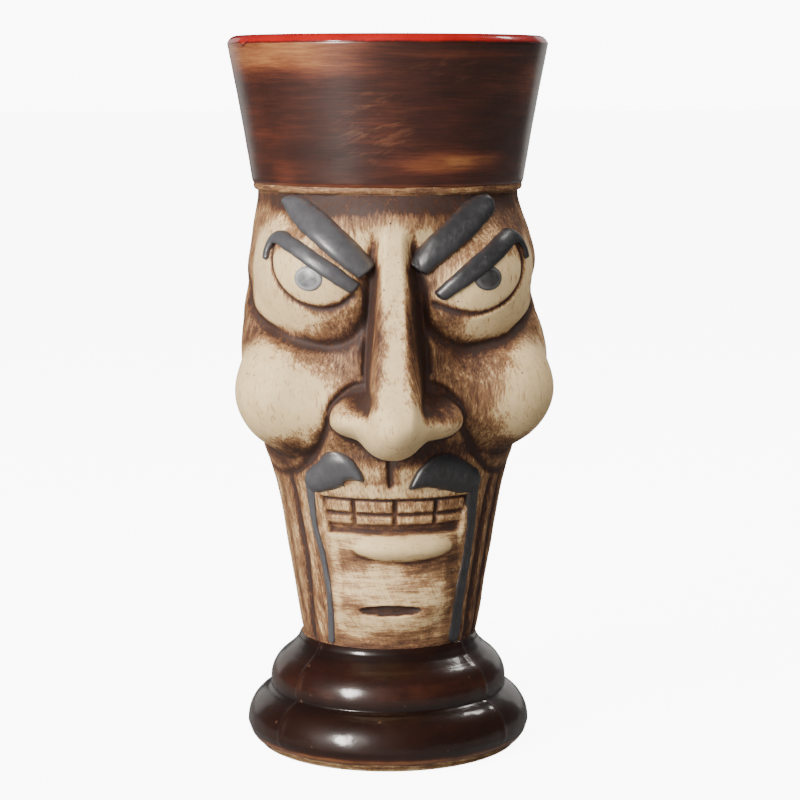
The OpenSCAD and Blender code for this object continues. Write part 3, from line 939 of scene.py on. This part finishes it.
def inside_line(inset):
    """Half outline of the space inside from the lip down to the middle of the floor."""
    z = np.linspace(LIP_Z, 26, 90)
    r = curve_through(z, sorted([height, radius] for radius, height in INSIDE_WALL))
    corner_r, corner_z = INSIDE_WALL[-1]
    turn = arc_points((corner_r - CORNER_R, corner_z), CORNER_R - inset, CORNER_R - inset, 0, -86, 14)
    return np.vstack([np.column_stack([r - inset, z]), turn])


def seam_bump(a):
    """Fine ridges where the halves of the mould met."""
    return sum(SEAM_H * bell((a - at) * 0.5, 0.7) for at in SEAM_ANGLES)


def revolved(line, angles):
    """Angle, height and radius over a grid, with the line's points down the rows."""
    a, z = np.meshgrid(angles, line[:, 1])
    r = np.meshgrid(angles, line[:, 0])[1]
    return a, z, r


def cavity_of(r, columns_mm, rows_mm):
    """How far the surface lies below its close and its wide surroundings, from two blurs of the grid."""
    def below(size):
        n_columns = max(int(size / columns_mm), 1)
        n_rows = max(int(size / rows_mm), 1)
        out = r
        for _ in range(2):
            kernel = np.ones(2 * n_columns + 1) / (2 * n_columns + 1)
            wide = np.concatenate([out[:, -n_columns:], out, out[:, :n_columns]], axis=1)
            out = np.apply_along_axis(lambda row: np.convolve(row, kernel, "valid"), 1, wide)
            kernel = np.ones(2 * n_rows + 1) / (2 * n_rows + 1)
            tall = np.concatenate([out[:1]] * n_rows + [out] + [out[-1:]] * n_rows, axis=0)
            out = np.apply_along_axis(lambda col: np.convolve(col, kernel, "valid"), 0, tall)
        return out - r

    return below(SMALL_BLUR), below(LARGE_BLUR)


SMALL_BLUR, LARGE_BLUR = 1.2, 4.5

# Where the stain was wiped away: angle, height, half width, half height, tilt in degrees, share removed.
WIPED = [
    # Cheeks and under them.
    (-58, 91.4, 15.5, 11.6, 0, 1.0), (-37, 91.5, 7.5, 7.5, -15, 0.75), (65, 92.6, 14, 11.4, 0, 0.84),
    (46, 89, 5, 8, 20, 0.4), (-52, 76.5, 5, 3, -30, 0.3), (-36, 80, 2.4, 4, 30, 0.3),
    (-60, 79, 6, 4, 0, 0.25),
    # Rolls under the eyes, eyeballs and brows.
    (-50, 112, 11, 4.6, -8, 0.82), (-28, 110, 5, 2.6, 12, 0.3), (44, 110.8, 11, 4.8, 12, 1.0),
    (56, 112, 8, 5, 20, 0.8), (-35, 120.4, 11, 6.2, -12, 1.0), (34, 119.6, 11, 6.4, 12, 1.0),
    (-61, 122, 7, 11, 10, 0.95), (60, 121, 5, 9, -10, 0.85), (50, 114, 6, 6, 0, 0.7),
    (-32, 129.2, 9, 1.8, 20, 0.45), (-52, 133.0, 4, 3, -20, 0.7), (38, 131.4, 8, 2, -20, 0.2),
    # Forehead and nose.
    (-1.5, 128.4, 8, 4.6, 0, 0.82), (-16, 129, 4, 2.8, 25, 0.55), (12, 129.4, 5, 3, -25, 0.8),
    (-2.2, 116, 2.0, 18, 1, 0.7), (-2.4, 98, 2.0, 10, 0, 0.8), (-2.2, 85.6, 7.6, 6.6, 0, 1.1),
    (-17, 86.2, 4.6, 2.6, 12, 0.52), (16.5, 85.6, 4, 2, -12, 0.5), (-8, 85.6, 4.6, 3.4, 0, 0.6),
    (8, 84.6, 4, 3, 0, 0.6), (-8, 134, 14, 2.2, 0, 0.35),
    # Lips and chin.
    (-3, 69, 24, 1.6, 0, 0.55), (-12, 74, 5.5, 3.2, 25, 0.45), (7, 72.6, 3.4, 3, -20, 0.5),
    (5.5, 54.8, 13, 3.5, 0, 1.1), (-31, 56, 4.4, 4.6, 0, 0.36), (-18, 62, 20, 6, 0, 0.2),
    (37.5, 61, 1.2, 7, 0, 0.6), (-5, 48.5, 5, 4, 0, 0.55), (-20, 45, 7.5, 3.2, 0, 0.48),
    (-12, 42, 9, 2.4, 0, 0.36), (5, 34.8, 10, 2.3, 0, 0.5), (-25, 34.5, 6, 3.6, 0, 0.5),
    (17, 41, 7, 2.2, 0, 0.42), (-34, 46, 1.6, 12, 0, 0.4), (14, 45, 7, 3, 0, 0.4),
    (29, 40, 3, 8, 0, 0.3),
    # Flutes beside the chin.
    (-51.5, 54, 1.7, 16, 0, 0.55), (-51, 34, 1.8, 5, 0, 0.4), (-66, 52, 2.6, 17, 0, 0.5),
    (-80, 50, 3, 18, 0, 0.4), (50, 48, 1.0, 12, 0, 0.3), (60, 52, 1.2, 14, 0, 0.35),
    (72, 48, 1.6, 16, 0, 0.25),
    # Middle of the back.
    (180, 120, 22, 14, 0, 0.4), (180, 60, 18, 18, 0, 0.35),
]

# The same on both sides: behind the jaw, on the ears, and on the back of the head and of the column.
SIDES_WIPED = [
    (84, 86, 5, 10, 0, 0.4), (99, 100, 6, 20, 0, 0.7), (150, 90, 14, 24, 0, 0.35),
    (130, 50, 12, 18, 0, 0.3),
]
WIPED += [(side * a, *rest) for a, *rest in SIDES_WIPED for side in (-1, 1)]

# Where it was brushed on again: the same columns, with the share added.
BRUSHED = [
    # Forehead, nose and right cheek.
    (0, 139.5, 34, 5.6, 0, 0.3), (-44, 137.6, 10, 4, 0, 0.3), (57, 134, 8, 5, 0, 0.2),
    (-20, 134.5, 9, 3, 0, 0.12), (29, 97, 6, 10, 0, 0.04), (6.6, 110, 2.8, 22, 0, 0.4),
    (-8.6, 106, 2.8, 20, 0, 0.34), (-1, 107, 5, 13, 0, 0.2),
    (18.5, 88.4, 5.4, 5, 0, 0.32), (13, 92, 4, 4, 0, 0.36), (-19, 90, 5, 4, 0, 0.16),
    (-12.5, 93, 3.4, 3, 0, 0.3),
    # Chin, flutes and upper lip.
    (19, 47.4, 8, 3.4, 0, 0.1), (-24, 51.6, 6, 2.2, 0, 0.1), (-62, 50, 8, 22, 0, 0.2),
    (34, 46, 2, 14, 0, 0.16), (60, 79, 9, 5, 0, 0.25), (24, 78, 9, 3.4, 0, 0.25), (62, 50, 7, 22, 0, 0.22),
    # Under the eyes and the cheeks, and on the upper lip.
    (-22, 107, 7, 5, 0, 0.2), (21, 107, 7, 6, 0, 0.04), (-72, 109, 6, 6, 0, 0.15), (-58, 78, 12, 5, 0, 0.4),
    (-5, 76.5, 12, 2.2, 0, 0.15), (30, 102, 10, 4, 0, 0.08),
]

# Stain before any wiping, the largest share that one wipe takes off, and what is never wiped off.
STAIN_LEVEL = 0.52
CLEANEST = 0.93
LEAST_STAIN = 0.07

# Stain that gathers in small and wide hollows, and that is rubbed off small and wide swellings.
SMALL_HOLLOW, WIDE_HOLLOW = 0.34, 0.12
SMALL_SWELLING, WIDE_SWELLING = 0.15, 0.2

# Stain that gathers along the carved lines: lines, width and share.
LINE_STAINS = [
    (EYE_LINES, 0.85, 0.64), (EYE_CREASES, 1.3, 0.34), (NOSTRIL_FOLDS, 1.0, 0.34), (NOSE_GROOVES, 0.8, 0.3),
    (FLUTES, 1.0, 0.35), (EAR_FOLDS, 1.4, 0.5), (PHILTRUM, 0.8, 0.6),
]

# Stain on the teeth at least, and more between them, in the chin's slit and above the foot; and how much
# darker a band just under the collar is made.
TOOTH_STAIN, TOOTH_GAP_STAIN, SLIT_STAIN, UNDER_COLLAR_DARKENING, BOTTOM_STAIN = 0.36, 0.16, 0.9, 0.3, 0.16

# Stain on the other parts of the casting, and whether its brush marks run level there.
RING_STAINS = {
    "underside": (0.12, 0), "foot_edge": (0.48, 1), "foot": (0.5, 1),
    "ledge": (0.56, 1), "wall": (0.4, 1), "lip": (0.1, 0), "inside": (0.1, 0),
}


def patch(a, z, middle):
    """A share inside a soft-edged leaning ellipse on the surface, falling to 0 outside it."""
    centre_a, centre_z, half_w, half_h, tilt, share = middle
    across = ((a - centre_a + 180) % 360 - 180) * unroll_r(z) * DEGREE
    up = z - centre_z
    lean = tilt * DEGREE
    d = np.hypot(
        (across * math.cos(lean) + up * math.sin(lean)) / half_w,
        (up * math.cos(lean) - across * math.sin(lean)) / half_h,
    )
    return share * (1 - smoothstep(d, 0.55, 1.3))


def stain_of(a, z, r, small, large):
    """How much stain the surface holds before the brush marks, from 0 for wiped clean to 1 for full."""
    kept = np.ones_like(r)
    for middle in WIPED:
        kept = kept * (1 - np.minimum(patch(a, z, middle), CLEANEST))
    stain = STAIN_LEVEL * kept
    for middle in BRUSHED:
        stain = stain + patch(a, z, middle)
    stain = stain + SMALL_HOLLOW * smoothstep(small, 0.06, 0.5) + WIDE_HOLLOW * smoothstep(large, 0.2, 2.0)
    stain = stain - WIDE_SWELLING * smoothstep(-large, 0.2, 2.0)
    stain = stain - SMALL_SWELLING * smoothstep(-small, 0.08, 0.4)
    for lines, width, share in LINE_STAINS:
        stain = stain + carve(a, z, lines, width, share)
    inside_mouth = (z > MOUTH_LOW_Z) & (z < MOUTH_HIGH_Z) & (np.abs(a - MOUTH_CENTRE_A) < MOUTH_HALF_HIGH)
    stain = stain + TOOTH_GAP_STAIN * smoothstep(mouth_depth(a, z), 0.8, 1.5)
    stain = stain + SLIT_STAIN * smoothstep(slit_depth(a, z), 0.2, 1)
    stain = np.where(inside_mouth, np.maximum(stain, TOOTH_STAIN), stain)
    # A darker band just under the collar.
    stain = stain + UNDER_COLLAR_DARKENING * smoothstep(z, 135, 138.6) * (1 - smoothstep(z, 139.6, 140.3))
    stain = stain + BOTTOM_STAIN * (1 - smoothstep(z, 28, 32))
    return np.clip(stain, LEAST_STAIN, 1)


def build_casting(material):
    """The earthenware body as one skin, from under the foot over face and lip to the floor inside."""
    angles = ring_angles()
    head_z = np.linspace(FOOT_TOP_Z - 0.2, COLLAR_Z - 0.3, 330)
    a, z = np.meshgrid(angles, head_z)
    r = face_r(a, z)
    columns_mm = MEAN_R * 2 * math.pi / COLUMNS * (1 - CROWDING * 0.8)
    small, large = cavity_of(r, columns_mm, head_z[1] - head_z[0])
    chin_front = smoothstep(62 - z, -2, 4) * (1 - smoothstep(np.abs(a), 34, 44))
    head = (xyz(a, z, r), stain_of(a, z, r, small, large), chin_front)

    wall_z = np.linspace(COLLAR_Z + 2.4, LIP_Z, 30)
    lines = {
        "underside": np.array([[32.2, 0.0], [32.8, 0.3]]),
        "foot_edge": arc_points(LOWER_RING, LOWER_RING_W - GLAZE_T, LOWER_RING_DOWN, -46, -30, 6),
        "foot": foot_line(GLAZE_T)[::-1],
        "ledge": np.array(LEDGE) + (COLLAR_BASE_R, COLLAR_Z),
        "wall": np.column_stack([collar_r(wall_z), wall_z]),
        "lip": arc_points((LIP_MID_R, LIP_Z), LIP_R, LIP_R, 8, 180, 16),
        "inside": inside_line(0.0)[1:],
    }
    blocks = []
    for key, line in lines.items():
        ring = xyz(*revolved(line, angles))
        blocks.append([ring] + [np.full(ring.shape[:2], value) for value in RING_STAINS[key]])
        if key == "foot":
            blocks.append(head)
    points, stain, level = (np.vstack(part) for part in zip(*blocks))
    poles = ((0, 0, 0), (0, 0, FLOOR_Z))
    piece = grid_mesh("earthenware_casting", points, {"stain": stain, "level": level}, poles=poles)
    return place(piece, material, "bisque", "earthenware_body")


def build_coat(name, outer, inner, attributes, material, slot, node):
    """A closed coat between an outer grid of points and the inner one that it lies on."""
    points = np.vstack([outer, inner[::-1]])
    full = {key: np.vstack([v, v[::-1]]) for key, v in attributes.items()}
    piece = grid_mesh(name, points, full, wrap_rows=True)
    return place(piece, material, slot, node)


# Places on the collar where the brush left the glaze thin or thick: angle, height, half sizes in mm, share.
COLLAR_TINTS = [
    (16, 147.6, 13, 3.2, 0.44), (36, 148.4, 11, 2.8, 0.3), (-50, 145, 6, 4, 0.2), (25, 173.2, 22, 1.4, 0.2),
    (-66, 158, 7, 16, 0.12), (-8, 156, 9, 9, 0.1), (50, 165, 16, 8, 0.1), (-30, 150, 16, 5, -0.12),
    (62, 168, 9, 8, 0.14), (130, 168, 30, 5, 0.3), (-140, 150, 24, 4, 0.25), (175, 160, 24, 9, 0.12),
]

# Places where short leaning strokes show in the glaze: the same, with the strength of the strokes.
FEATHERED = [(-8, 156, 10, 9, 1.0), (20, 170, 12, 4, 0.5), (150, 158, 16, 9, 0.8)]

# How thin the collar's glaze is: everywhere, more at the upper left and more along its bottom edge.
COLLAR_THIN, CORNER_THIN, COLLAR_EDGE_THIN = 0.24, 0.52, 0.35


def collar_patches(a, z, places, inner, outer):
    """Soft-edged ellipses on the collar, each falling away between two multiples of its half sizes."""
    total = np.zeros_like(z)
    for centre_a, centre_z, half_w, half_h, share in places:
        d = np.hypot((a - centre_a) * COLLAR_MEAN_R * DEGREE / half_w, (z - centre_z) / half_h)
        total = total + share * (1 - smoothstep(d, inner, outer))
    return total


def build_collar_glaze(material):
    """The brown coat, from a wavering edge above the ledge up on to the rounded lip."""
    angles = np.linspace(-180, 180, 360, endpoint=False)
    flat = np.zeros_like(angles)
    low = COLLAR_GLAZE_Z + 0.1 + 0.22 * ripple(angles, flat, 11, 3) + 0.1 * ripple(angles, flat, 4, 5)
    wall_z = low + (LIP_Z - low) * np.linspace(0, 1, 90)[:, None]
    turn = np.linspace(0, RED_EDGE, 5)[1:, None] * DEGREE
    z = np.vstack([wall_z, LIP_Z + LIP_R * np.sin(turn) + flat])
    r = np.vstack([collar_r(wall_z), LIP_MID_R + LIP_R * np.cos(turn) + flat])
    a = angles + 0 * z
    start = smoothstep(np.linspace(0, 1, len(z))[:, None], 0, 0.02)
    coat = GLAZE_T * (0.35 + 0.65 * start) + 0.03 * ripple(a, z * 2.2, 13, 4) * start
    corner = smoothstep(z, 166, 171.5) * (1 - smoothstep(a, -36, 4)) * smoothstep(a, -125, -80)
    bottom = 1 - smoothstep(z, COLLAR_GLAZE_Z + 0.3, COLLAR_GLAZE_Z + 1.0)
    thin = COLLAR_THIN + CORNER_THIN * corner + COLLAR_EDGE_THIN * bottom
    thin = thin + collar_patches(a, z, COLLAR_TINTS, 0.2, 1.2)
    attributes = {"thin": np.clip(thin, 0, 1), "feather": collar_patches(a, z, FEATHERED, 0.4, 1.3)}
    outer = xyz(a, z, r + coat)
    inner = xyz(a, z, r - COAT_SINK)
    name = "collar_glaze_coat"
    return build_coat(name, outer, inner, attributes, material, "brown_glaze", "collar_glaze")


# How thin the foot's glaze is: everywhere, and where it thins or pools, as height, reach and share.
FOOT_THIN = 0.42
FOOT_CROWNS = [(18.5, 3.6, 0.22), (8.4, 3.0, 0.06)]
FOOT_POOLS = [(14.2, 1.6, 0.3), (25.6, 1.6, 0.2)]
SEAM_THIN, BARE_EDGE_THIN = 0.09, 0.8


def build_foot_glaze(material):
    """The dark coat over both rings, from under the face down to its ragged bare edge."""
    angles = np.linspace(-180, 180, 384, endpoint=False)
    t = np.linspace(0, 1, 110)
    line, under = (
        np.column_stack([np.interp(t, np.linspace(0, 1, len(points)), points[:, i]) for i in (0, 1)])
        for points in (foot_line(0.0), foot_line(GLAZE_T))
    )
    ends = np.minimum(smoothstep(t, 0, 0.03), smoothstep(1 - t, 0, 0.02))[:, None]
    a, under_z, under_r = revolved(under, angles)
    r, z = (under + (line - under) * (0.3 + 0.7 * ends)).T[:, :, None]
    z = z + 0.3 * ripple(angles, 0 * angles, 13, 6) * smoothstep(t, 0.93, 1.0)[:, None]
    bump = seam_bump(a) * smoothstep(z, 3, 6) + 0.06 * ripple(a, z, 7, 7) * ends
    crown = sum(share * bell(z - height, reach) for height, reach, share in FOOT_CROWNS)
    pool = sum(share * bell(z - height, reach) for height, reach, share in FOOT_POOLS)
    bare_edge = 1 - smoothstep(z, BARE_EDGE_Z, BARE_EDGE_Z + 2.4)
    thin = FOOT_THIN + crown - pool + SEAM_THIN * seam_bump(a) / SEAM_H + BARE_EDGE_THIN * bare_edge
    outer = xyz(a, z, r + bump)
    inner = xyz(a, under_z, under_r - COAT_SINK)
    attributes = {"thin": np.clip(thin, 0, 1)}
    name = "foot_glaze_coat"
    return build_coat(name, outer, inner, attributes, material, "dark_glaze", "foot_glaze")


# Edge of the red coat on the lip: how far its first rings hang, and the angle and size of its one drip.
LIP_HANG = (1, 0.75, 0.45, 0.2)
DRIP_ANGLE, DRIP_H = -64.6, 0.8


def build_lining(material):
    """The red coat, from a ragged edge on the lip over it and down to the floor."""
    angles = np.linspace(-180, 180, 360, endpoint=False)
    lip = arc_points((LIP_MID_R, LIP_Z), LIP_R + GLAZE_T, LIP_R + GLAZE_T, RED_EDGE, 180, 24)
    lip_under = arc_points((LIP_MID_R, LIP_Z), LIP_R, LIP_R, RED_EDGE, 180, 24)
    outer_line = np.vstack([lip, inside_line(GLAZE_T)[1:]])
    inner_line = np.vstack([lip_under, inside_line(0.0)[1:]])
    a, z, r = revolved(outer_line, angles)
    ia, iz, ir = revolved(inner_line, angles)
    wave = 0.2 * ripple(angles, angles * 0, 12, 8) + DRIP_H * bell((angles - DRIP_ANGLE) * 0.66, 1.1) + 0.15
    hang = np.zeros(len(outer_line))
    hang[: len(LIP_HANG)] = LIP_HANG
    drop = hang[:, None] * wave[None, :]
    outer = xyz(a, z - drop, r + 0.14 * hang[:, None])
    inner = xyz(ia, iz - drop, ir)
    walk = np.concatenate([[0], np.cumsum(np.linalg.norm(np.diff(outer_line, axis=0), axis=1))])
    edge = np.clip(walk / 1.6, 0, 1)[:, None] + 0 * a
    points = np.vstack([inner[::-1], outer])
    poles = ((0, 0, FLOOR_Z), (0, 0, FLOOR_Z + GLAZE_T))
    piece = grid_mesh("red_lining_coat", points, {"edge": np.vstack([edge[::-1], edge])}, poles=poles)
    return place(piece, material, "red_glaze", "red_lining")


def build_stroke(node, stroke, material):
    """The painted stroke as its own closed bar, seated in the face."""
    across = np.sin(np.linspace(-90, 90, 25) * DEGREE)
    line, half = stroke.line, stroke.half
    r = unroll_r(line[:, 1])
    ds = np.gradient(line[:, 0]) * DEGREE * r
    dz = np.gradient(line[:, 1])
    length = np.hypot(ds, dz)
    side_s, side_z = -dz / length, ds / length
    wander = 0.05 * np.sin(stroke.place * 0.7) + 0.03 * np.sin(stroke.place * 1.7 + 1)
    reach = half[:, None] * across[None, :] + wander[:, None] * np.abs(across)[None, :]
    a = line[:, 0][:, None] + side_s[:, None] * reach / (DEGREE * r[:, None])
    z = line[:, 1][:, None] + side_z[:, None] * reach
    surface = plain_face_r(a, z)
    edge = 1 - np.abs(across)[None, :] + 0 * a
    top = xyz(a, z, surface + stroke.section(across[None, :]) + 0.04 * ripple(a, z, 6, 3) * edge)
    bottom = xyz(a, z, surface - EDGE_SINK - STROKE_SEAT)
    points = np.concatenate([top, bottom[:, ::-1]], axis=1)
    values = np.concatenate([edge, np.zeros_like(edge)], axis=1)
    poles = (points[0].mean(axis=0), points[-1].mean(axis=0))
    piece = grid_mesh(node + "_paint", points, {"edge": values}, poles=poles)
    return place(piece, material, "charcoal", node)


def build_pupil(side, material):
    """A low disc on the eyeball, with its top tucked under the eyelid."""
    centre_a, centre_z = pupil_place(side)
    turn = np.linspace(0, 360, 72, endpoint=False)
    share = np.sin(np.linspace(6, 90, 12) * DEGREE)[:, None]
    scale = unroll_r(centre_z) * DEGREE
    a = centre_a + share * PUPIL_R * np.cos(turn * DEGREE)[None, :] / scale
    z = centre_z + share * PUPIL_R * np.sin(turn * DEGREE)[None, :]
    surface = plain_face_r(a, z)
    crown = (1 - share ** 4) ** 0.5
    top = xyz(a, z, surface - PUPIL_SINK + PUPIL_RISE * crown)
    bottom = xyz(a, z, surface - PUPIL_SEAT)
    edge = 1 - share + 0 * a
    points = np.concatenate([top, bottom[::-1]], axis=0)
    values = np.concatenate([edge, edge[::-1] * 0], axis=0)
    poles = (top[0].mean(axis=0), bottom[0].mean(axis=0))
    piece = grid_mesh(side + "_pupil_disc", points, {"edge": values}, poles=poles)
    return place(piece, material, "charcoal", side + "_pupil")


def make_outward(piece):
    """Turns a closed piece's faces outward if its volume comes out negative."""
    mesh = piece.data
    mesh.calc_loop_triangles()
    n = len(mesh.loop_triangles)
    corners = np.empty(n * 3, np.int32)
    mesh.loop_triangles.foreach_get("vertices", corners)
    co = np.empty(len(mesh.vertices) * 3, np.float32)
    mesh.vertices.foreach_get("co", co)
    p = co.reshape(-1, 3)[corners.reshape(-1, 3)].astype(float)
    volume = np.einsum("ij,ij->i", p[:, 0], np.cross(p[:, 1], p[:, 2])).sum() / 6
    if volume < 0:
        mesh.flip_normals()


# ---- Setting ----

# The camera turns round the mug by an azimuth counted like the angles of the face.
CAMERA_AZIMUTH = -4.0
CAMERA_PITCH = 7.92
CAMERA_DISTANCE = 575.6
CAMERA_HEIGHT = 167.2
CAMERA_OFFSET = 3.05
CAMERA_LENS = 103.5

FLOOR_HALF_M = 12.0
FLOOR_GREY = 0.15
FLOOR_GLOW = 8.7
WORLD_SEEN = 10.0
WORLD_DIFFUSE = 0.26
WORLD_GLOSSY = 0.065

# Lights that shade and lights that only shine: name, azimuth and elevation in degrees, distance and size in
# metres, power in watts.
LIGHT_COLOUR = (1.0, 0.965, 0.91)
LIGHT_AIM_Z = 95
SHADING_LIGHTS = [
    ("key", -49, 22, 1.0, (0.8, 0.8), 28),
    ("rim", 112, 46, 0.9, (0.4, 0.4), 5),
    ("front_fill", -6, 50, 1.3, (0.8, 0.7), 7),
    ("low_fill", 18, 2, 1.1, (0.7, 0.3), 3),
]
SHINING_LIGHTS = [
    ("key_glint", -41, 14, 1.0, (0.2, 0.46), 15),
    ("rim_glint", 118, 45, 0.9, (0.13, 0.15), 1.0),
    ("edge_glow", -152, 4, 1.2, (0.6, 0.9), 0.8),
    ("edge_glow", 152, 4, 1.2, (0.6, 0.9), 0.8),
]

# A card lying face up low in front of the foot, which shines in the underside of its rings.
TABLE_CARD = ("table_card", -37.4, 0, 0.43, (0.18, 0.03), 0.05)
CARD_Z = 2


def build_camera():
    data = bpy.data.cameras.new("camera")
    data.lens = CAMERA_LENS
    data.sensor_width = 36
    data.clip_start = 0.01
    camera = bpy.data.objects.new("camera", data)
    turn = CAMERA_AZIMUTH * DEGREE
    right = np.array([math.cos(turn), math.sin(turn), 0])
    back = np.array([math.sin(turn), -math.cos(turn), 0])
    spot = back * CAMERA_DISTANCE + right * CAMERA_OFFSET + np.array([0, 0, CAMERA_HEIGHT])
    camera.location = spot * MM
    camera.rotation_euler = ((90 - CAMERA_PITCH) * DEGREE, 0, turn)
    bpy.context.scene.collection.objects.link(camera)
    bpy.context.scene.camera = camera


def build_floor():
    """A pale sweep that the camera sees near white, and that throws little light back at the glazes."""
    g = Graph("studio_floor")
    path = g.node("ShaderNodeLightPath")
    g.finish((FLOOR_GREY, FLOOR_GREY, FLOOR_GREY, 1), 0.9, Specular_IOR_Level=0.0)
    bright = g.node("ShaderNodeBsdfDiffuse")
    bright.inputs["Color"].default_value = (0.9, 0.9, 0.9, 1)
    glow = g.node("ShaderNodeEmission")
    glow.inputs["Strength"].default_value = FLOOR_GLOW
    seen = g.node("ShaderNodeAddShader")
    both = g.node("ShaderNodeMixShader")
    g.feed(seen.inputs[0], bright.outputs[0])
    g.feed(seen.inputs[1], glow.outputs[0])
    g.feed(both.inputs[0], path.outputs["Is Camera Ray"])
    g.feed(both.inputs[1], g.shader.outputs[0])
    g.feed(both.inputs[2], seen.outputs[0])
    g.feed(g.tree.nodes["Material Output"].inputs["Surface"], both.outputs[0])
    mesh = bpy.data.meshes.new("floor")
    corners = [(x * FLOOR_HALF_M, y * FLOOR_HALF_M, 0) for x, y in ((-1, -1), (1, -1), (1, 1), (-1, 1))]
    mesh.from_pydata(corners, [], [(0, 1, 2, 3)])
    mesh.materials.append(g.material)
    floor = bpy.data.objects.new("floor", mesh)
    bpy.context.scene.collection.objects.link(floor)


def area_light(name, azimuth, elevation, distance, size, power, shades, aim_z=LIGHT_AIM_Z):
    """A soft box that only shades the mug or only shows in its glazes, placed round it by its angles."""
    data = bpy.data.lights.new(name, "AREA")
    data.shape = "ELLIPSE"
    data.size, data.size_y = size
    data.energy = power
    data.color = LIGHT_COLOUR
    light = bpy.data.objects.new(name, data)
    a, e = azimuth * DEGREE, elevation * DEGREE
    spot = np.array([math.sin(a) * math.cos(e), -math.cos(a) * math.cos(e), math.sin(e)]) * distance
    light.location = spot + np.array([0, 0, aim_z * MM])
    light.rotation_euler = ((90 - elevation) * DEGREE, 0, azimuth * DEGREE)
    light.visible_diffuse = shades
    light.visible_glossy = not shades
    light.visible_camera = False
    bpy.context.scene.collection.objects.link(light)
    return light


def build_world():
    """White to the camera, a soft grey fill to matt surfaces and nearly black in reflections."""
    world = bpy.data.worlds.new("studio")
    bpy.context.scene.world = world
    world.use_nodes = True
    tree = world.node_tree
    background = tree.nodes["Background"]
    background.inputs[0].default_value = (1, 1, 1, 1)
    path = tree.nodes.new("ShaderNodeLightPath")
    seen = tree.nodes.new("ShaderNodeMath")
    strength = tree.nodes.new("ShaderNodeMath")
    steps = ((seen, WORLD_SEEN - WORLD_DIFFUSE, WORLD_DIFFUSE), (strength, WORLD_GLOSSY - WORLD_DIFFUSE, 0))
    for node, rise, base in steps:
        node.operation = "MULTIPLY_ADD"
        node.inputs[1].default_value = rise
        node.inputs[2].default_value = base
    tree.links.new(path.outputs["Is Camera Ray"], seen.inputs[0])
    tree.links.new(path.outputs["Is Glossy Ray"], strength.inputs[0])
    tree.links.new(seen.outputs[0], strength.inputs[2])
    tree.links.new(strength.outputs[0], background.inputs[1])


def build_lights():
    """Soft boxes that shade the mug, others that only shine in its glazes, and a low card that does too."""
    for settings in SHADING_LIGHTS:
        area_light(*settings, shades=True)
    for settings in SHINING_LIGHTS:
        area_light(*settings, shades=False)
    card = area_light(*TABLE_CARD, shades=False, aim_z=CARD_Z)
    card.rotation_euler = (math.pi, 0, TABLE_CARD[1] * DEGREE)


build_camera()
build_floor()
build_world()
build_lights()

bisque = bisque_material()
# One charcoal per side: painted light on the left, painted shade on the right.
charcoal = {side: charcoal_material(side) for side in CHARCOAL_LIT_LEFT_SHADED_RIGHT}
pieces = [
    build_casting(bisque),
    build_collar_glaze(collar_material()),
    build_foot_glaze(foot_material()),
    build_lining(red_material()),
    build_pupil("left", pupil_material("pale")),
    build_pupil("right", pupil_material("dark")),
]
for node, stroke in STROKES.items():
    side = node.split("_")[0]
    pieces.append(build_stroke(node, stroke, charcoal[side]))
for piece in pieces:
    make_outward(piece)
